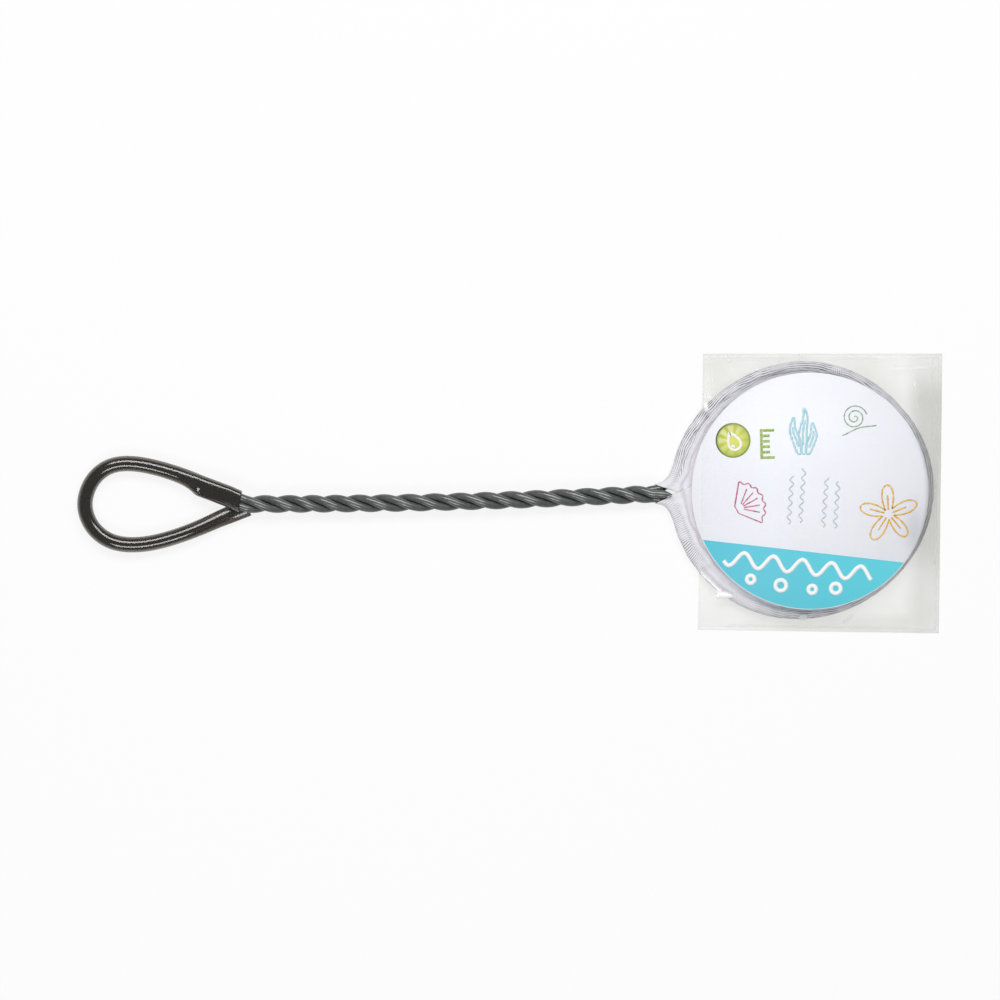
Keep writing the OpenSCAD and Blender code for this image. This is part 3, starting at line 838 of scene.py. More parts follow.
band = {
    "hem": 4.5,
    "hemHeight": 0.8,
    "cloth": 0.22,
    "from": 0.27,            # share of each leg at which the sleeve starts
    "step": 0.7,
    "leaves": 118,           # degrees round the wire at which the cloth leaves it for the hem
    "slant": 1.0,            # how far the sleeve's ends are cut on the slant
    "slantReach": 7,
    "overlap": (2.5, 3.5),   # degrees past the handle at which the two ends of the hem stop
    "overlapLift": 0.35,
    "fanReach": 26,          # from the neck, where the hem lies in a fan of folds
    "loose": 1.0,            # how far the sleeve hangs off the wire where it is loosest
    "looseAt": (-125, 42),   # degrees, its middle and its reach
    "hemLift": 3.5,          # how far the hem stands up there under the card
    "liftAt": (-138, 42),
    "gather": 0.06,          # heights of its small folds, all across, all along and where it is loose
    "crease": 0.08,
    "ruffle": 0.07,
    "foldRange": (-0.16, 0.24),
    "fan": 0.16,
    "seamAt": 0.57,          # share of the hem's width
    "seam": 0.42,            # how much the seam is shaded, and the edge beyond it is pink
    "flush": 0.38,
    # degrees, how tightly the cloth is pulled together with how much painted shade darkens its gaps, whether
    # its rows lie along the hoop (0) or across it (1), how thin and see-through it is together with how much
    # painted shade greys it
    "stations": (
        (-180, 0.2, 0.9, 0), (-172, 0.6, 1.0, 0), (-152, 0.65, 1.0, 0), (-140, 0.25, 0.8, 0),
        (-120, 0.25, 0.5, 0.0), (-105, 0.6, 0.25, 0.05), (-90, 0.8, 0.2, 0.08), (-60, 0.8, 0.1, 0.0),
        (0, 0.6, 0.0, 0.0), (45, 0.8, 0.1, 0.06), (62, 1.0, 0.3, 0.08), (80, 1.0, 0.35, 0.08),
        (92, 1.0, 0.2, 0.08), (110, 1.0, 0.0, 0.06), (135, 1.0, 0.0, 0.02), (155, 1.0, 0.0, 0),
        (168, 0.9, 0.3, 0), (175, 0.35, 0.6, 0), (180, 0.15, 0.6, 0)
    ),
    "seed": 7,
}


def bellAt(degrees, middle, reach):
    off = (degrees - middle + 180) % 360 - 180
    return np.exp(-(off / reach) ** 2)


def hemEdge(angle):
    # inner edge of the hem: the hoop's own curve, drawn in by the band's radius and the hem's width
    line = hoopPoint(angle)
    inset = bandRadius + band["hem"]
    line[:, :2] *= 1 - inset / np.linalg.norm(line[:, :2], axis=1, keepdims=True)
    line[:, 2] += band["hemLift"] * bellAt(np.degrees(angle), *band["liftAt"])
    return line


def bandStations():
    # the sleeve's middle line, with the angle at which the hem of each station ends
    t = np.linspace(band["from"], 1, 40)
    fanOut = (1 - t) / (1 - band["from"])
    upper = hoop["openAngle"] + (180 + band["overlap"][0] - hoop["openAngle"]) * fanOut
    lower = -hoop["openAngle"] - (180 + band["overlap"][1] - hoop["openAngle"]) * fanOut
    angles = np.linspace(hoop["openAngle"], -hoop["openAngle"], 400)
    line = np.concatenate([
        np.column_stack([legLine(twist["upper"], 1, t), upper]),
        np.column_stack([hoopPoint(np.radians(angles)), angles])[1:],
        np.column_stack([legLine(twist["lower"], -1, t), lower])[::-1][1:],
    ])
    return respaced(line, band["step"])


def ripple(u, v, count, seed, low, high):
    # sum of sine waves whose lengths lie between low and high, with seeded directions and phases
    random = np.random.default_rng(seed)
    total = np.zeros(np.broadcast(u, v).shape)
    for _ in range(count):
        length = random.uniform(low, high)
        heading = random.uniform(0, 2 * np.pi)
        phase = random.uniform(0, 2 * np.pi)
        total = total + np.sin(2 * np.pi * (u * np.cos(heading) + v * np.sin(heading)) / length + phase)
    return total / math.sqrt(count)


def makeBand():
    # a closed section swept along the hoop, pushed in and out by small folds
    stations, even = bandStations()
    line, degrees = stations[:, :3], stations[:, 3]
    along, left, up = directions(line)
    toEnd = np.minimum(even, even[-1] - even)
    side = np.where(even < even[-1] / 2, -1, 1)
    nearNeck = np.clip(1 - toEnd / band["fanReach"], 0, 1) ** 2
    slant = band["slant"] * np.clip(1 - toEnd / band["slantReach"], 0, 1) * side
    middle = bandRadius - band["cloth"] / 2
    half = band["hemHeight"] / 2 - band["cloth"] / 2
    # section: from the wire's top round its outer side to its underside, out along the hem,
    # round its folded tip and back
    leave = math.radians(band["leaves"])
    turn = np.linspace(leave, -leave, 27)
    flare = 1 + 0.12 * np.clip(1 - toEnd / 3, 0, 1)[:, None]
    loose = band["loose"] * bellAt(degrees, *band["looseAt"])[:, None]
    q = np.cos(turn)[None] * (middle * flare + loose * (np.cos(turn) > 0))
    r = np.sin(turn)[None] * middle * flare
    wrap = (line[:, None] + (q[..., None] * left[:, None] + r[..., None] * up[:, None])
            + (slant[:, None] * q)[..., None] * along[:, None])
    edge = hemEdge(np.radians(degrees))
    edge[:, 2] += band["overlapLift"] * nearNeck * side
    way = unit((edge - line) * [1, 1, 0])
    across = np.linspace(0, 1, 12)[1:-1][None, :, None]
    fold = np.linspace(-np.pi / 2, np.pi / 2, 5)
    tip = edge[:, None] + (half * np.cos(fold))[None, :, None] * way[:, None]
    tip[..., 2] += half * np.sin(fold)
    under = wrap[:, -1:] * (1 - across) + tip[:, :1] * across
    over = tip[:, -1:] * (1 - across) + wrap[:, :1] * across
    rings = np.concatenate([wrap, under, tip, over], 1)
    columns = rings.shape[1]
    wide = np.linalg.norm(rings - np.roll(rings, 1, 1), axis=-1)
    wide[:, 0] = 0
    around = np.cumsum(wide, 1)
    # small gathers across the sleeve, long soft creases along it, ruffles across it where it is loose,
    # and a fan of folds at the neck
    gone = even[:, None]
    gather = ripple(gone, around * 0.3, 9, band["seed"], 1.8, 5)
    crease = ripple(gone * 0.12, around, 6, band["seed"] + 1, 2.6, 7)
    ruffle = np.sin(2 * np.pi * (gone + 0.25 * around) / 2.6 + 1.6 * gather) * loose / band["loose"]
    push = np.clip(band["gather"] * gather + band["crease"] * crease + band["ruffle"] * ruffle,
                   *band["foldRange"])
    flat = np.arange(columns) >= len(turn)
    face = np.concatenate([turn * 0 + 1, -np.ones(across.size), np.sin(fold), np.ones(across.size)])
    normal = np.where(flat[None, :, None], face[None, :, None] * np.array([0, 0, 1.0]),
                      unit(rings - line[:, None]))
    fanFolds = np.sin(np.radians(degrees)[:, None] * 70 + 0.35 * around) * nearNeck[:, None]
    rings = rings + normal * push[..., None]
    rings[..., 2] += band["fan"] * flat[None] * fanFolds
    piece = makeMesh("header_band_sleeve", toMetres(rings.reshape(-1, 3)),
                     [gridFaces(len(line), columns, True)[:, ::-1]],
                     np.stack(np.broadcast_arrays(gone, around), -1).reshape(-1, 2))
    # the hem is looser and smoother than the cloth on the wire, and takes less painted shade; its seam shows
    # beside the neck
    table = np.array(band["stations"])
    tight, crossed, sheer = (
        np.interp(degrees, table[:, 0], table[:, k])[:, None] * np.ones(columns) for k in (1, 2, 3)
    )
    onHem = np.concatenate([turn * 0, across.ravel(), fold * 0 + 1, across.ravel()[::-1]])
    onTop = 1.0 * (np.arange(columns) >= len(turn) + across.size)
    beside = ease(110, 135, np.abs(degrees))[:, None] * onTop
    waver = 0.06 * ripple(gone, 0 * around, 4, band["seed"] + 4, 7, 24)
    crossed = crossed + 0.25 * ripple(gone, around, 5, band["seed"] + 2, 8, 20)
    # these values carry painted shade as well as how taut and how thin the cloth is
    giveValues(piece, {
        "tight": tight * (1 - 0.88 * ease(0.1, 0.35, onHem)),
        "crossed": ease(0.3, 0.6, np.clip(crossed, 0, 1)),
        "sheer": sheer,
        "seam": band["seam"] * beside * np.exp(-((onHem + waver - band["seamAt"]) / 0.07) ** 2),
        "flush": band["flush"] * beside * np.exp(-((onHem - waver - band["seamAt"] - 0.17) / 0.09) ** 2),
    })
    thicken(piece, band["cloth"])
    finishPiece(piece, materials["knit"], "net", ["header_band"])
    print("header band made,", round(even[-1]), "mm long")
    return even, line, edge, along, left, up


stitch = {
    "pitch": 2.6, "length": 2.0, "diameter": 0.26,
    "inset": 1.2,      # from the hem's edge
    "above": 0.42,     # over the face of the hem, on both sides
    "ends": 20,        # left without stitches at both ends of the hem
    "sides": 6,
}


def makeHemThread(even, line, edge, along, left, up):
    # lock stitches along the hem: short capsules on both of its faces
    places = np.arange(stitch["ends"], even[-1] - stitch["ends"], stitch["pitch"])
    capsule = np.array([(-1, 0.35), (-0.9, 0.85), (-0.6, 1), (0.6, 1), (0.9, 0.85), (1, 0.35)])
    sides, rows = stitch["sides"], len(capsule)
    ring = circle(sides)
    points, quads, caps, first = [], [], [], 0
    height = band["hemHeight"] / 2 + stitch["above"]
    for place in places:
        k = int(np.searchsorted(even, place))
        at = edge[k] + unit((line[k] - edge[k]) * [1, 1, 0]) * stitch["inset"]
        for face in (1, -1):
            ends = at + up[k] * face * height + capsule[:, :1] * along[k] * stitch["length"] / 2
            radius = capsule[:, 1] * stitch["diameter"] / 2
            points.append(ends[:, None] + radius[:, None, None] * (
                ring[None, :, :1] * left[k] + ring[None, :, 1:] * up[k]
            ))
            quads.append(gridFaces(rows, sides, True, first))
            caps += [fan(first, sides, False), fan(first + (rows - 1) * sides, sides, True)]
            first += rows * sides
    piece = makeMesh("hem_thread", toMetres(np.concatenate(points).reshape(-1, 3)),
                     [np.concatenate(quads), np.concatenate(caps)])
    finishPiece(piece, materials["thread"], "net")
    print("hem thread made,", len(places), "stitches")


# Net bag: folded down on itself like a collapsed lantern, in soft gathers, under the card

bag = {
    "top": 6.1, "bottom": 1.2,
    "play": 0.65,          # how far its folds rise and fall
    "gap": 0.25,           # from the hem
    "askew": 12,           # how far its innermost layers lie aside
    # profile from the hem down, in and out between the layers, to the middle of the top
    "reach": (0.985, 0.955, 0.90, 0.58, 0.33, 0.30, 0.34, 0.62, 0.84, 0.87, 0.82, 0.65, 0.48, 0.45, 0.48, 0.6,
              0.7, 0.73, 0.66, 0.42, 0.22, 0.02),
    "height": (0.33, 0.12, 0.02, 0.0, 0.04, 0.12, 0.2, 0.22, 0.24, 0.33, 0.41, 0.42, 0.43, 0.51, 0.6, 0.62,
               0.64, 0.74, 0.83, 0.88, 0.93, 0.95),
    "pleats": 0.3,         # heights of its pleats, creases and waves
    "creases": 0.65,
    "waves": 0.25,
    "cloth": 0.12,
    "turns": 290, "steps": 168, "seed": 21,
}


def makeBag():
    # a profile turned round the hoop's middle, its layers moved aside and folded
    angle = np.linspace(0, 2 * np.pi, bag["turns"], endpoint=False)
    share = np.linspace(0, 1, bag["steps"])
    reach, height = (
        np.convolve(np.pad(np.interp(share, np.linspace(0, 1, len(stops)), stops), 4, mode="edge"),
                    bellWindow(4), "valid")
        for stops in (bag["reach"], bag["height"])
    )
    edge = np.linalg.norm(hoopPoint(angle)[:, :2], axis=1) - bandRadius - band["hem"] - bag["gap"]
    radius = reach[:, None] * edge[None]
    # layers lie askew and their folds are uneven
    free = ease(1.0, 0.93, reach)[:, None]
    uneven = ripple(6 * np.cos(angle), 6 * np.sin(angle), 5, bag["seed"] + 1, 5, 14)
    radius = radius * (1 + 0.03 * free * uneven)
    heading = (2.2 + 2.0 * share)[:, None]
    aside = bag["askew"] * free * (1 - reach[:, None]) ** 0.8
    x = radius * np.cos(angle) + aside * np.cos(heading)
    y = radius * np.sin(angle) + aside * np.sin(heading)
    # gathers towards the middle, creases and soft waves; they hang on the place alone, so layers nest
    far, around = np.hypot(x, y), np.arctan2(y, x)
    random = np.random.default_rng(bag["seed"])
    pleats = np.zeros_like(far)
    for count in (11, 17, 26, 41):
        phase = random.uniform(0, 2 * np.pi)
        swirl = random.uniform(-0.03, 0.03)
        pleats += np.sin(count * around + phase + swirl * far) / math.sqrt(count / 11)
    creases = 0.75 - np.abs(ripple(x, y, 6, bag["seed"] + 2, 16, 40))
    waves = ripple(x, y, 7, bag["seed"], 9, 22)
    z = bag["bottom"] + height[:, None] * (bag["top"] - bag["bottom"])
    lifted = band["hemLift"] * bellAt(np.degrees(angle), *band["liftAt"])
    z = z + lifted * (ease(0.16, 0.04, share) * ease(0.92, 0.98, reach))[:, None]
    z = z + free * (bag["pleats"] * pleats * ease(3, 16, far) + bag["creases"] * creases
                    + bag["waves"] * waves)
    z = np.clip(z, bag["bottom"] - bag["play"], bag["top"] + bag["play"])
    points = np.stack([x, y, z], -1)
    rows, columns = radius.shape
    # the mesh turns slowly from layer to layer
    turned = angle + 1.5 * share[:, None]
    cloth = radius[..., None] * onCircle(turned)
    piece = makeMesh(
        "net_bag_mesh",
        toMetres(points.reshape(-1, 3)),
        [gridFaces(rows, columns, True), fan((rows - 1) * columns, columns, True)],
        cloth.reshape(-1, 2),
    )
    thicken(piece, bag["cloth"])
    finishPiece(piece, materials["mesh"], "net", ["net_bag"])
    # cut to a blunt cone: 270 mm round at the hem, 80 mm at its end, 175 mm on the mean
    print("bag made,", round(travelled(points[:, 0])[-1]), "mm deep")


# Card with its print

def ribbon(line, width, closed, z, thickness):
    # a flat printed line of even width, its ends rounded off by its points
    line = np.asarray(line, float)
    if closed:
        along = np.roll(line, -1, 0) - np.roll(line, 1, 0)
    else:
        along = np.gradient(line, axis=0)
    along = unit(along)
    across = np.stack([-along[:, 1], along[:, 0]], -1)
    widths = np.broadcast_to(np.asarray(width, float), (len(line),))[:, None] / 2
    low = np.stack([line - across * widths, line + across * widths], 1)
    count = len(line)
    top = np.concatenate([low, np.full((count, 2, 1), z + thickness)], -1)
    bottom = np.concatenate([low, np.full((count, 2, 1), z)], -1)
    ring = np.stack([top[:, 0], top[:, 1], bottom[:, 1], bottom[:, 0]], 1)
    if closed:
        ring = np.concatenate([ring, ring[:1]])
    faces = [gridFaces(len(ring), 4, True)[:, ::-1]]
    if not closed:
        faces += [fan(0, 4, True), fan((count - 1) * 4, 4, False)]
    return ring.reshape(-1, 3), np.concatenate(faces)


def joined(parts):
    # several meshes as one
    points, faces, first = [], [], 0
    for p, f in parts:
        points.append(p)
        faces.append(f + first)
        first += len(p)
    return np.concatenate(points), np.concatenate(faces)


def starfish(radius):
    # five round arms: radius swells with cos 5a, drawn by hand a little unevenly
    angle = np.linspace(0, 2 * np.pi, 160, endpoint=False)
    swell = 0.62 + 0.38 * np.cos(5 * angle) * (1 - 0.12 * np.cos(5 * angle)) + 0.03 * np.sin(2 * angle + 1)
    outline = radius * swell[:, None] * onCircle(angle)
    lines = [(outline, True)]
    for way in circle(5):
        lines.append((np.linspace(0.14, 0.62, 8)[:, None] * radius * way, False))
    return lines


def shell(radius):
    # fan shell: an arc with a scalloped rim and ribs that meet at the hinge
    angle = np.radians(np.linspace(-62, 62, 90))
    rim = radius * (1 + 0.045 * np.cos(angle * 18))[:, None] * np.stack([np.sin(angle), np.cos(angle)], -1)
    hinge = np.array([[radius * 0.16, -radius * 0.12], [-radius * 0.16, -radius * 0.12]])
    outline = np.concatenate([rim, hinge[:1] + (hinge[1:] - hinge[:1]) * np.linspace(0, 1, 6)[:, None]])
    lines = [(outline, True)]
    for a in np.radians([-40, -20, 0, 20, 40]):
        way = np.array([math.sin(a), math.cos(a)])
        lines.append((np.linspace(0.18, 0.82, 8)[:, None] * radius * way, False))
    return lines


def weed(height):
    # three waving blades, each a closed outline that is widest a third of the way up
    t = np.linspace(0, 1, 40)
    lines = []
    for root, lean, tall, phase in ((-1.7, -0.15, 0.8, 0.4), (0.0, 0.02, 1.0, 2.2), (1.7, 0.17, 0.68, 4.1)):
        x = root + height * (lean * t + 0.05 * t * np.sin(7 * t + phase))
        half = 0.3 + 1.2 * np.sin(np.pi * t ** 0.7)
        y = height * tall * t
        up = np.stack([x - half, y], -1)
        down = np.stack([x + half, y], -1)[::-1]
        lines.append((np.concatenate([up, down]), True))
        lines.append((np.stack([x, y], -1)[8:30], False))
    return lines


def snail(radius):
    # a coiled shell: spiral whose radius shrinks with its turn
    t = np.linspace(0, 1, 120)
    angle = 2 * np.pi * 2.3 * t
    size = radius * (1 - t) ** 0.8
    spiral = size[:, None] * onCircle(angle)
    wave = 1.0 + 0.1 * np.cos(np.linspace(0, 6, 24))
    foot = np.stack([np.linspace(-1.35, 1.5, 24) * radius, -radius * wave], -1)
    return [(spiral, False), (foot, False)]


def waterLines():
    # short ripples in two columns, turned as the rest of the print
    lines = []
    t = np.linspace(0, 1, 40)
    for x, y0, y1 in ((-7.4, -12.5, 6.0), (-3.0, -12.0, 9.0), (6.0, -14.0, 5.0), (10.6, -14.5, 3.5)):
        y = y0 + (y1 - y0) * t
        lines.append((np.stack([x + 0.75 * np.sin((y - y0) * 2 * np.pi / 3.6) + 0.1 * y, y], -1), False))
    return lines


def crestLines():
    # one bold white wave and bubbles on the foot
    t = np.linspace(0, 1, 200)
    turn = math.radians(card["footTurn"])
    way = np.array([math.cos(turn), math.sin(turn)])
    away = np.array([math.sin(turn), -math.cos(turn)])
    lines = []
    x = -30.2 + 57.4 * t
    y = 29.3 + 2.7 * np.sin((x + 30.2) * 2 * np.pi / 11.3 + 0.4)
    lines.append((x[:, None] * way + y[:, None] * away, False))
    for x, y, r in ((-19.0, 36.4, 1.5), (-7.2, 37.4, 2.1), (5.0, 37.6, 1.5), (14.0, 36.2, 1.9)):
        lines.append((x * way + y * away + circle(36, r), True))
    return lines


def waterDrop(size):
    # water drop: a round that is drawn out to a point at its top
    angle = np.linspace(0, 2 * np.pi, 60, endpoint=False)
    x = size * 0.8 * np.cos(angle) * np.sqrt((1 - np.sin(angle)) / 2 + 0.02)
    y = size * (np.sin(angle) * 0.95 - 0.1)
    glint = np.radians(np.linspace(200, 255, 10))
    inner = size * 0.42 * onCircle(glint) + np.array([0, -0.25 * size])
    return [(np.stack([x, y], -1), True), (inner, False)]


def scaleMarks(length, steps):
    # a bar with ticks, as on a ruler
    ends = np.array([[0, -length / 2], [0, length / 2]])
    bar = ends[:1] + (ends[1:] - ends[:1]) * np.linspace(0, 1, 8)[:, None]
    lines = [(bar, False)]
    for k in range(steps):
        y = -length / 2 + 0.5 + (length - 1.0) * k / (steps - 1)
        reach = 5.0 if k % 5 == 0 else 3.2
        lines.append((np.stack([np.linspace(0.6, reach, 6), np.full(6, y)], -1), False))
    return lines


def handDrawn(line, width, seed):
    # a crayon line: its width swells and thins, in whole waves along it
    gone = travelled(line)
    random = np.random.default_rng(seed)
    waves = np.round(gone[-1] * random.uniform(0.12, 0.6, 5))
    swell = np.sin(2 * np.pi * gone[:, None] / gone[-1] * waves + random.uniform(0, 2 * np.pi, 5)).mean(1)
    return width * (1 + 0.45 * swell)


# what is printed on the card: lines, their place, turn in degrees, width and colour, and whether they are
# drawn as with a crayon
motifs = {
    "starfish": (starfish(11.8), (30.0, -9.5), 20, 0.62, "#e6ab22", True),
    "shell": (shell(9.8), (-27.5, -6.0), -62, 0.496, "#c24f78", True),
    "weed": (weed(17.5), (-2.2, 14.4), 0, 0.806, "#a6dbe8", True),
    "snail": (snail(4.8), (17.8, 28.0), 15, 0.465, "#86a67c", True),
    "ripples": (waterLines(), (0, 0), 0, 0.496, "#bcc1c8", False),
    "crests": (crestLines(), (0, 0), 0, 1.55, "#ffffff", False),
    "drop": (waterDrop(3.7), card["disc"], 24, 1.1, "#fbfcf0", False),
    "scale": (scaleMarks(11.5, 6), (-18.4, 18.6), 0, 1.0, "#8fb02c", False),
}


def makeMotif(name, lines, at, turn, width, hexValue, crayon):
    # lines that cross stand a hair above each other, so that no two inks share a plane
    angle = math.radians(turn)
    spin = np.array([[math.cos(angle), math.sin(angle)], [-math.sin(angle), math.cos(angle)]])
    z = card["bottom"] + card["thickness"] + card["inkGap"]
    parts = []
    for k, (line, closed) in enumerate(lines):
        line = line @ spin + np.array(at)
        widths = handDrawn(line, width, k + len(name)) if crayon else width
        parts.append(ribbon(line, widths, closed, z, card["ink"] + card["inkStep"] * (k % 4)))
    points, faces = joined(parts)
    points[:, :2] += card["middle"]
    piece = makeMesh("print_" + name, toMetres(points), [faces], smooth=False)
    finishPiece(piece, newMaterial("offset_ink_" + name, printInk, hexValue), "card")


def makeCard():
    # a bevelled profile turned round the card's middle, with the print on it
    radius, bevel, sides = card["diameter"] / 2, card["bevel"], card["sides"]
    profile = np.array([(radius - bevel, 0), (radius, bevel), (radius, card["thickness"] - bevel),
                        (radius - bevel, card["thickness"])])
    rings = np.concatenate([
        profile[:, None, :1] * circle(sides)[None], np.broadcast_to(profile[:, None, 1:], (4, sides, 1))
    ], -1)
    points = rings.reshape(-1, 3) + np.array([card["middle"][0], card["middle"][1], card["bottom"]])
    piece = makeMesh("card_sheet", toMetres(points), [
        gridFaces(4, sides, True), fan(0, sides, False), fan(3 * sides, sides, True)
    ], smooth=False)
    finishPiece(piece, materials["card"], "card", ["insert_card"])
    for name, motif in motifs.items():
        makeMotif(name, *motif)
    print("card made")


# Pouch: a clear film bag. Its front film hangs like a taut skin over the card and the hoop

pouch = {
    # corners along and across the pouch, from the middle of the hoop: mouth and end, below and above
    "mouthLow": (-40.64, -54.99),
    "mouthHigh": (-39.69, 52.11),
    "endLow": (52.84, -55.45),
    "endHigh": (53.15, 53.01),
    "turn": -1.9,              # degrees about the middle of the hoop
    "quarter": (23.5, 27),     # a quarter of its length and of its width
    "weld": 1.5,
    "weldHeight": 0.22,
    "film": 0.08,
    "gap": 0.3,                # over what it lies on
    "step": 0.5,
    "backStep": 1.6,
    "settle": (500, 200, 120), # rounds of settling, on grids four times and twice as wide, and its own
    "flapShadeFrom": 37,            # along the pouch, where the closing flap lies double and painted shade starts to darken the film
    "dents": 0.22,             # heights of its dents, and of the pleats at its mouth
    "pleats": 0.07,
    "pleatPitch": 1.25,
    # creases and dents that the film keeps, as lines about the middle of the hoop, with painted white
    # highlights along them:
    # from x, y to x, y, half width, rise, and how much painted highlight whitens the film there
    "creases": (
        (-41.2, -31.0, -33.9, -38.6, 0.45, 0.12, 0.95),
        (-33.9, -38.4, -34.5, -40.6, 0.8, 0.05, 1.0),
        (-34.7, -40.9, -29.8, -40.8, 0.5, 0.05, 1.0),
        (-33.6, -38.7, -29.4, -40.7, 0.5, 0.05, 1.0),
        (-33.2, -39.8, -31.8, -40.3, 0.85, 0.05, 1.0),
        (-11.0, 47.3, -6.6, 48.4, 1.5, 0.2, 0.36),
        (-8.0, 49.8, -6.2, 49.2, 1.3, 0.12, 0.3),
        (-17.8, 46.7, -17.1, 46.9, 0.55, 0.2, 0.95),
        (-28.1, 50.7, -27.7, 50.7, 0.45, 0.1, 0.8),
        (-37.9, 33.6, -37.6, 31.4, 0.8, 0.2, 0.7),
        (-38.6, 37.4, -35.8, 36.2, 0.5, 0.1, 0.4),
        (-2.7, -49.7, -1.1, -49.6, 1.1, 0.3, 0.62),
        (-0.4, 52.4, -0.4, 50.9, 0.45, 0.0, 0.75),
        (36.0, 46.2, 53.5, 45.4, 0.9, 0.15, 0.1),
        (43.9, 40.2, 44.6, 30.8, 0.5, 0.25, 0.32),
        (50.9, 49.5, 49.6, -30.0, 0.4, 0.1, 0.16),
        (47.0, 30.0, 46.6, 8.0, 1.2, 0.2, 0.06),
        (-30.6, -52.2, 40.0, -55.0, 0.5, 0.0, 0.12),
        (-36.0, 52.2, 30.0, 50.0, 0.5, 0.0, 0.1),
        (14.0, -52.0, 17.0, -49.3, 0.7, 0.15, 0.15),
    ),
    "seed": 5,
}


def pouchPlace(u, v, z):
    # places along and across the pouch, turned about the middle of the hoop
    turn = math.radians(pouch["turn"])
    x = u * math.cos(turn) - v * math.sin(turn)
    y = u * math.sin(turn) + v * math.cos(turn)
    return np.stack([x, y, z], -1)


def pouchGrid(step):
    # four-cornered sheet: places along and across it, and the distance to its nearest welded side
    rows, columns = (4 * round(size / step) + 1 for size in pouch["quarter"])
    s, t = np.meshgrid(np.linspace(0, 1, rows), np.linspace(0, 1, columns), indexing="ij")
    toWeld = np.minimum(np.minimum(t, 1 - t) * 4 * pouch["quarter"][1], (1 - s) * 4 * pouch["quarter"][0])
    corner = [np.array(pouch[k]) for k in ("mouthLow", "mouthHigh", "endLow", "endHigh")]
    s, t = s[..., None], t[..., None]
    place = ((1 - s) * (1 - t) * corner[0] + (1 - s) * t * corner[1]
             + s * (1 - t) * corner[2] + s * t * corner[3])
    return place[..., 0], place[..., 1], toWeld


def toLine(x, y, x0, y0, x1, y1):
    # distance from points to a line's nearest place
    way = np.array([x1 - x0, y1 - y0])
    share = np.clip(((x - x0) * way[0] + (y - y0) * way[1]) / (way @ way), 0, 1)
    return np.hypot(x - x0 - share * way[0], y - y0 - share * way[1])


def restUnderFilm(u, v):
    # height of what lies under the front film: the card, the round band and the welds
    place = pouchPlace(u, v, 0 * u)
    x, y = place[..., 0], place[..., 1]
    angle = np.arctan2(y, x)
    fromWire = np.hypot(x, y) - np.linalg.norm(hoopPoint(angle)[..., :2], axis=-1)
    # the loose part of the band is wider and stands out further
    loose = band["loose"] * bellAt(np.degrees(angle), *band["looseAt"]) / 2
    across = fromWire - loose
    half = bandRadius + pouch["gap"] + loose
    arch = (bandRadius + pouch["gap"]) * np.sqrt(np.clip(1 - (across / half) ** 2, 0, None))
    height = np.where(np.abs(across) < half, hoop["height"] + arch, pouch["weldHeight"])
    onCard = np.hypot(x - card["middle"][0], y - card["middle"][1]) < card["diameter"] / 2 + 0.15
    return np.where(onCard, card["bottom"] + card["thickness"] + pouch["gap"], height)


def refined(z):
    # the same surface on a grid twice as fine
    fine = np.zeros((2 * z.shape[0] - 1, 2 * z.shape[1] - 1))
    fine[::2, ::2] = z
    fine[1::2, ::2] = (z[1:] + z[:-1]) / 2
    fine[:, 1::2] = (fine[:, 2::2] + fine[:, :-1:2]) / 2
    return fine


def settledFilm(u, v, toWeld):
    # taut skin: every free point goes to the mean of its four neighbours but stays above what is under it
    under = restUnderFilm(u, v)
    welded = toWeld < pouch["weld"]
    z = under[::4, ::4]
    for wide, rounds in zip((4, 2, 1), pouch["settle"]):
        if wide < 4:
            z = refined(z)
        low, fixed = under[::wide, ::wide], welded[::wide, ::wide]
        for _ in range(rounds):
            mean = (np.roll(z, 1, 1) + np.roll(z, -1, 1) + np.vstack([z[1:2], z[:-1]])
                    + np.vstack([z[1:], z[-2:-1]])) / 4
            z = np.where(fixed, pouch["weldHeight"], np.maximum(mean, low))
    # one more mean takes the checker pattern out that such rounds can leave
    z = smoothedGrid(z)
    return z, np.clip((z - under) / 0.6, 0, 1) * ~welded


def smoothedGrid(z):
    # each point's mean with its neighbours, weighed 1, 2, 1 both ways
    padded = np.pad(z, 1, mode="edge")
    rows = (padded[:-2] + 2 * padded[1:-1] + padded[2:]) / 4
    return (rows[:, :-2] + 2 * rows[:, 1:-1] + rows[:, 2:]) / 4


def makeFilm(side, u, v, z, layers, creased):
    # one of the pouch's two films, with where painted shade darkens it over the flap and where painted
    # highlights whiten it
    film = makeMesh("pouch_film_" + side, toMetres(pouchPlace(u, v, z).reshape(-1, 3)),
                    [gridFaces(*u.shape, False)])
    giveValues(film, {"layers": layers, "creased": creased})
    thicken(film, pouch["film"])
    finishPiece(film, materials[side], "pouch", ["pouch_" + side + "_film"])


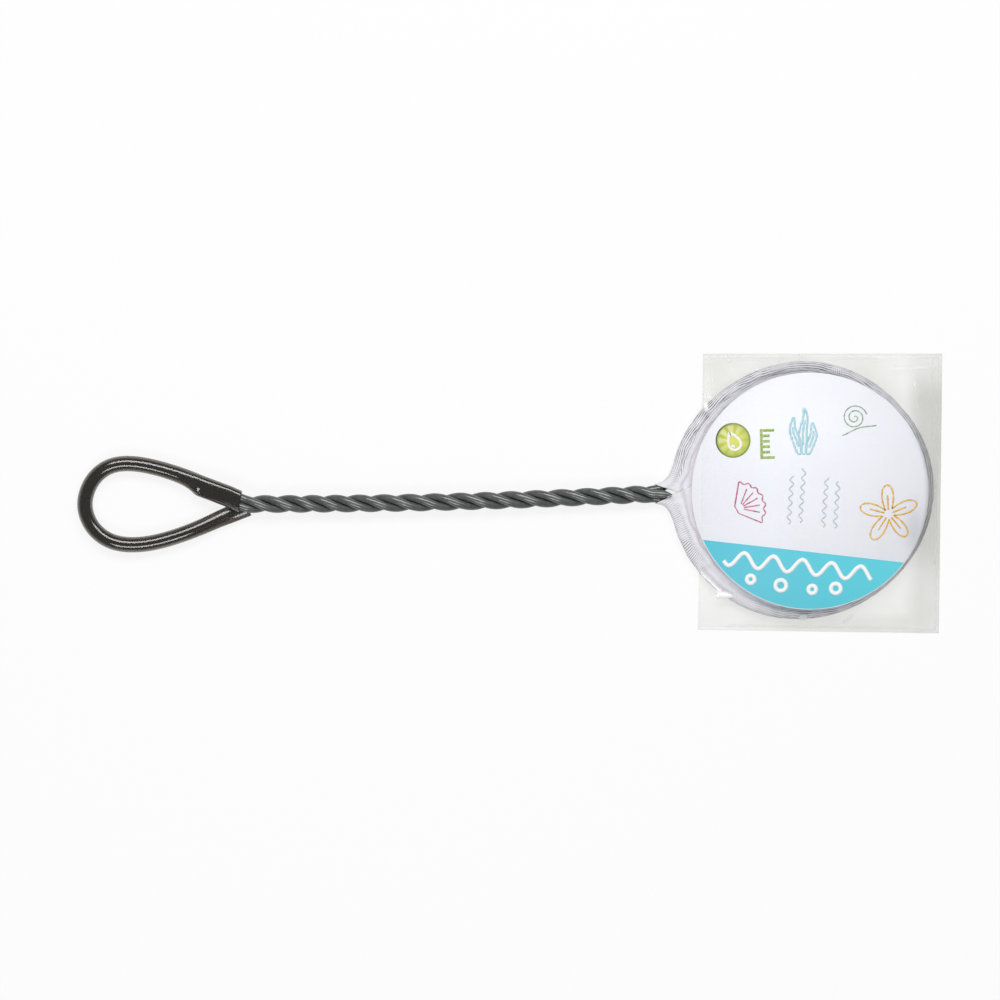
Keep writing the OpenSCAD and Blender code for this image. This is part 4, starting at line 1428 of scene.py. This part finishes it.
def makePouch():
    # the settled skin with its dents, pleats and creases, over a nearly flat back
    u, v, toWeld = pouchGrid(pouch["step"])
    z, free = settledFilm(u, v, toWeld)
    # soft dents where it hangs free, and fine pleats at the upper part of the mouth
    dents = ripple(u, v, 9, pouch["seed"], 9, 26)
    pleats = np.sin(2 * np.pi * u / pouch["pleatPitch"] + 0.5 * np.sin(v / 4)) * ease(5.5, 3.0, u - u[:1])
    pleats = pleats * ease(30, 38, v) * (1 - ease(47, 51, v))
    z = z + free * (pouch["dents"] * np.clip(dents, -0.5, 2) + pouch["pleats"] * pleats)
    flat = pouchPlace(u, v, z)
    # painted highlight: white glints on the pleats' crests and along the creases, where the film's folds
    # catch the lamps
    creased = 0.12 * np.clip(pleats, 0, 1)
    for x0, y0, x1, y1, width, rise, white in pouch["creases"]:
        bell = np.exp(-(toLine(flat[..., 0], flat[..., 1], x0, y0, x1, y1) / width) ** 2)
        z = z + rise * bell
        creased = np.maximum(creased, white * ease(0.08, 0.85, bell))
    # welds show as a faint painted white highlight line at their inner edge
    creased = np.maximum(creased, 0.16 * np.exp(-((toWeld - pouch["weld"]) / 0.35) ** 2))
    z = np.maximum(z, pouch["weldHeight"])
    # painted shade: the film is darkened towards the pouch's end and along its lower edge, standing in for
    # the hoop's shadow on the floor seen through it, beyond what the flap lying double gives
    layers = ease(pouch["flapShadeFrom"], pouch["flapShadeFrom"] + 9, u) * (0.5 + 0.5 * ease(-45, -15, v))
    layers = np.maximum(layers * (1 - 0.7 * ease(34, 50, v)), 0.3 * ease(-47, -51, v) * ease(-20, 0, u))
    # the darkening ends at the hoop; a soft grey patch over the card's lower right is a painted reflection of
    # the film's glare
    layers = layers * ease(45.5, 48.5, np.hypot(u, v))
    layers = np.maximum(layers, 0.42 * np.exp(-((u - 42.3) / 3.6) ** 2 - ((v + 15.5) / 8.5) ** 2))
    makeFilm("front", u, v, z, layers, creased)
    u, v, toWeld = pouchGrid(pouch["backStep"])
    z = 0.05 + 0.025 * np.clip(ripple(u, v, 6, pouch["seed"] + 3, 20, 50), 0, 2)
    makeFilm("back", u, v, z, 0 * u, 0 * u)
    print("pouch made")


makeWire()
makeTube()
makeHemThread(*makeBand())
makeBag()
makeCard()
makePouch()


# Studio: pale floor, two long soft boxes across the handle, and a camera straight above

studio = {
    "pixel": 0.388 * mm,       # of the object, in a picture 1000 wide
    "aim": (-0.00484, -0.00007),
    "turn": -1.35,             # degrees
    "distance": 1.4,
    "world": 0.29,
    "key": {"angle": 35, "distance": 1.1, "size": (1.1, 0.42), "power": 8.65, "x": 0.08},
    "fill": {"angle": -36, "distance": 1.1, "size": (0.6, 0.36), "power": 3.55, "x": -0.18},
    "floorWhite": 0.84,
    "floorHalf": 3.0,
    "floorLow": -0.00005,
}


def seenPlainly(add):
    # 1 where the camera sees a thing itself or through the clear pieces
    path = add("LightPath")
    return add("Math", {
        "operation": "MAXIMUM", 0: path.outputs["Is Camera Ray"], 1: path.outputs["Is Transmission Ray"]
    })


def paperBackdrop(add):
    # White paper: matt, and nearly plain white to the camera, with the shadow kept
    paper = add("BsdfDiffuse", {"Color": "#f4f4f4"})
    white = add("Emission", {"Color": "#ffffff", "Strength": 1.0})
    share = add("Math", {"operation": "MULTIPLY", 0: seenPlainly(add), 1: studio["floorWhite"]})
    return add("MixShader", {"Fac": share, 1: paper, 2: white})


def makeStudio():
    # the camera sees 388 mm from straight above; the lamps stand over the two sides of the handle
    scene = bpy.context.scene
    lens = bpy.data.cameras.new("camera")
    lens.sensor_width = 36
    lens.lens = 36 * studio["distance"] / (studio["pixel"] * 1000)
    lens.clip_start = 0.01
    camera = bpy.data.objects.new("camera", lens)
    camera.location = (*studio["aim"], studio["distance"])
    camera.rotation_euler = (0, 0, math.radians(studio["turn"]))
    scene.collection.objects.link(camera)
    scene.camera = camera
    for name in ("key", "fill"):
        s = studio[name]
        lamp = bpy.data.lights.new(name, "AREA")
        lamp.shape = "RECTANGLE"
        lamp.size, lamp.size_y = s["size"]
        lamp.energy = s["power"]
        light = bpy.data.objects.new(name, lamp)
        a = math.radians(s["angle"])
        light.location = (s["x"], s["distance"] * math.sin(a), s["distance"] * math.cos(a))
        light.rotation_euler = (-a, 0, 0)
        scene.collection.objects.link(light)
    scene.world = bpy.data.worlds.new("world")
    add = nodeAdder(scene.world)
    strength = add("MapRange", {"To Min": studio["world"], "Value": seenPlainly(add)})
    add("OutputWorld", {"Surface": add("Background", {"Color": "#ffffff", "Strength": strength})})
    half, low = studio["floorHalf"], studio["floorLow"]
    corners = np.array([(-half, -half, low), (half, -half, low), (half, half, low), (-half, half, low)])
    floor = makeMesh("floor", corners, [np.array([[0, 1, 2, 3]])], smooth=False)
    floor.data.materials.append(newMaterial("white_paper_backdrop", paperBackdrop))
    scene.view_settings.view_transform = "Standard"
    print("studio made")


makeStudio()
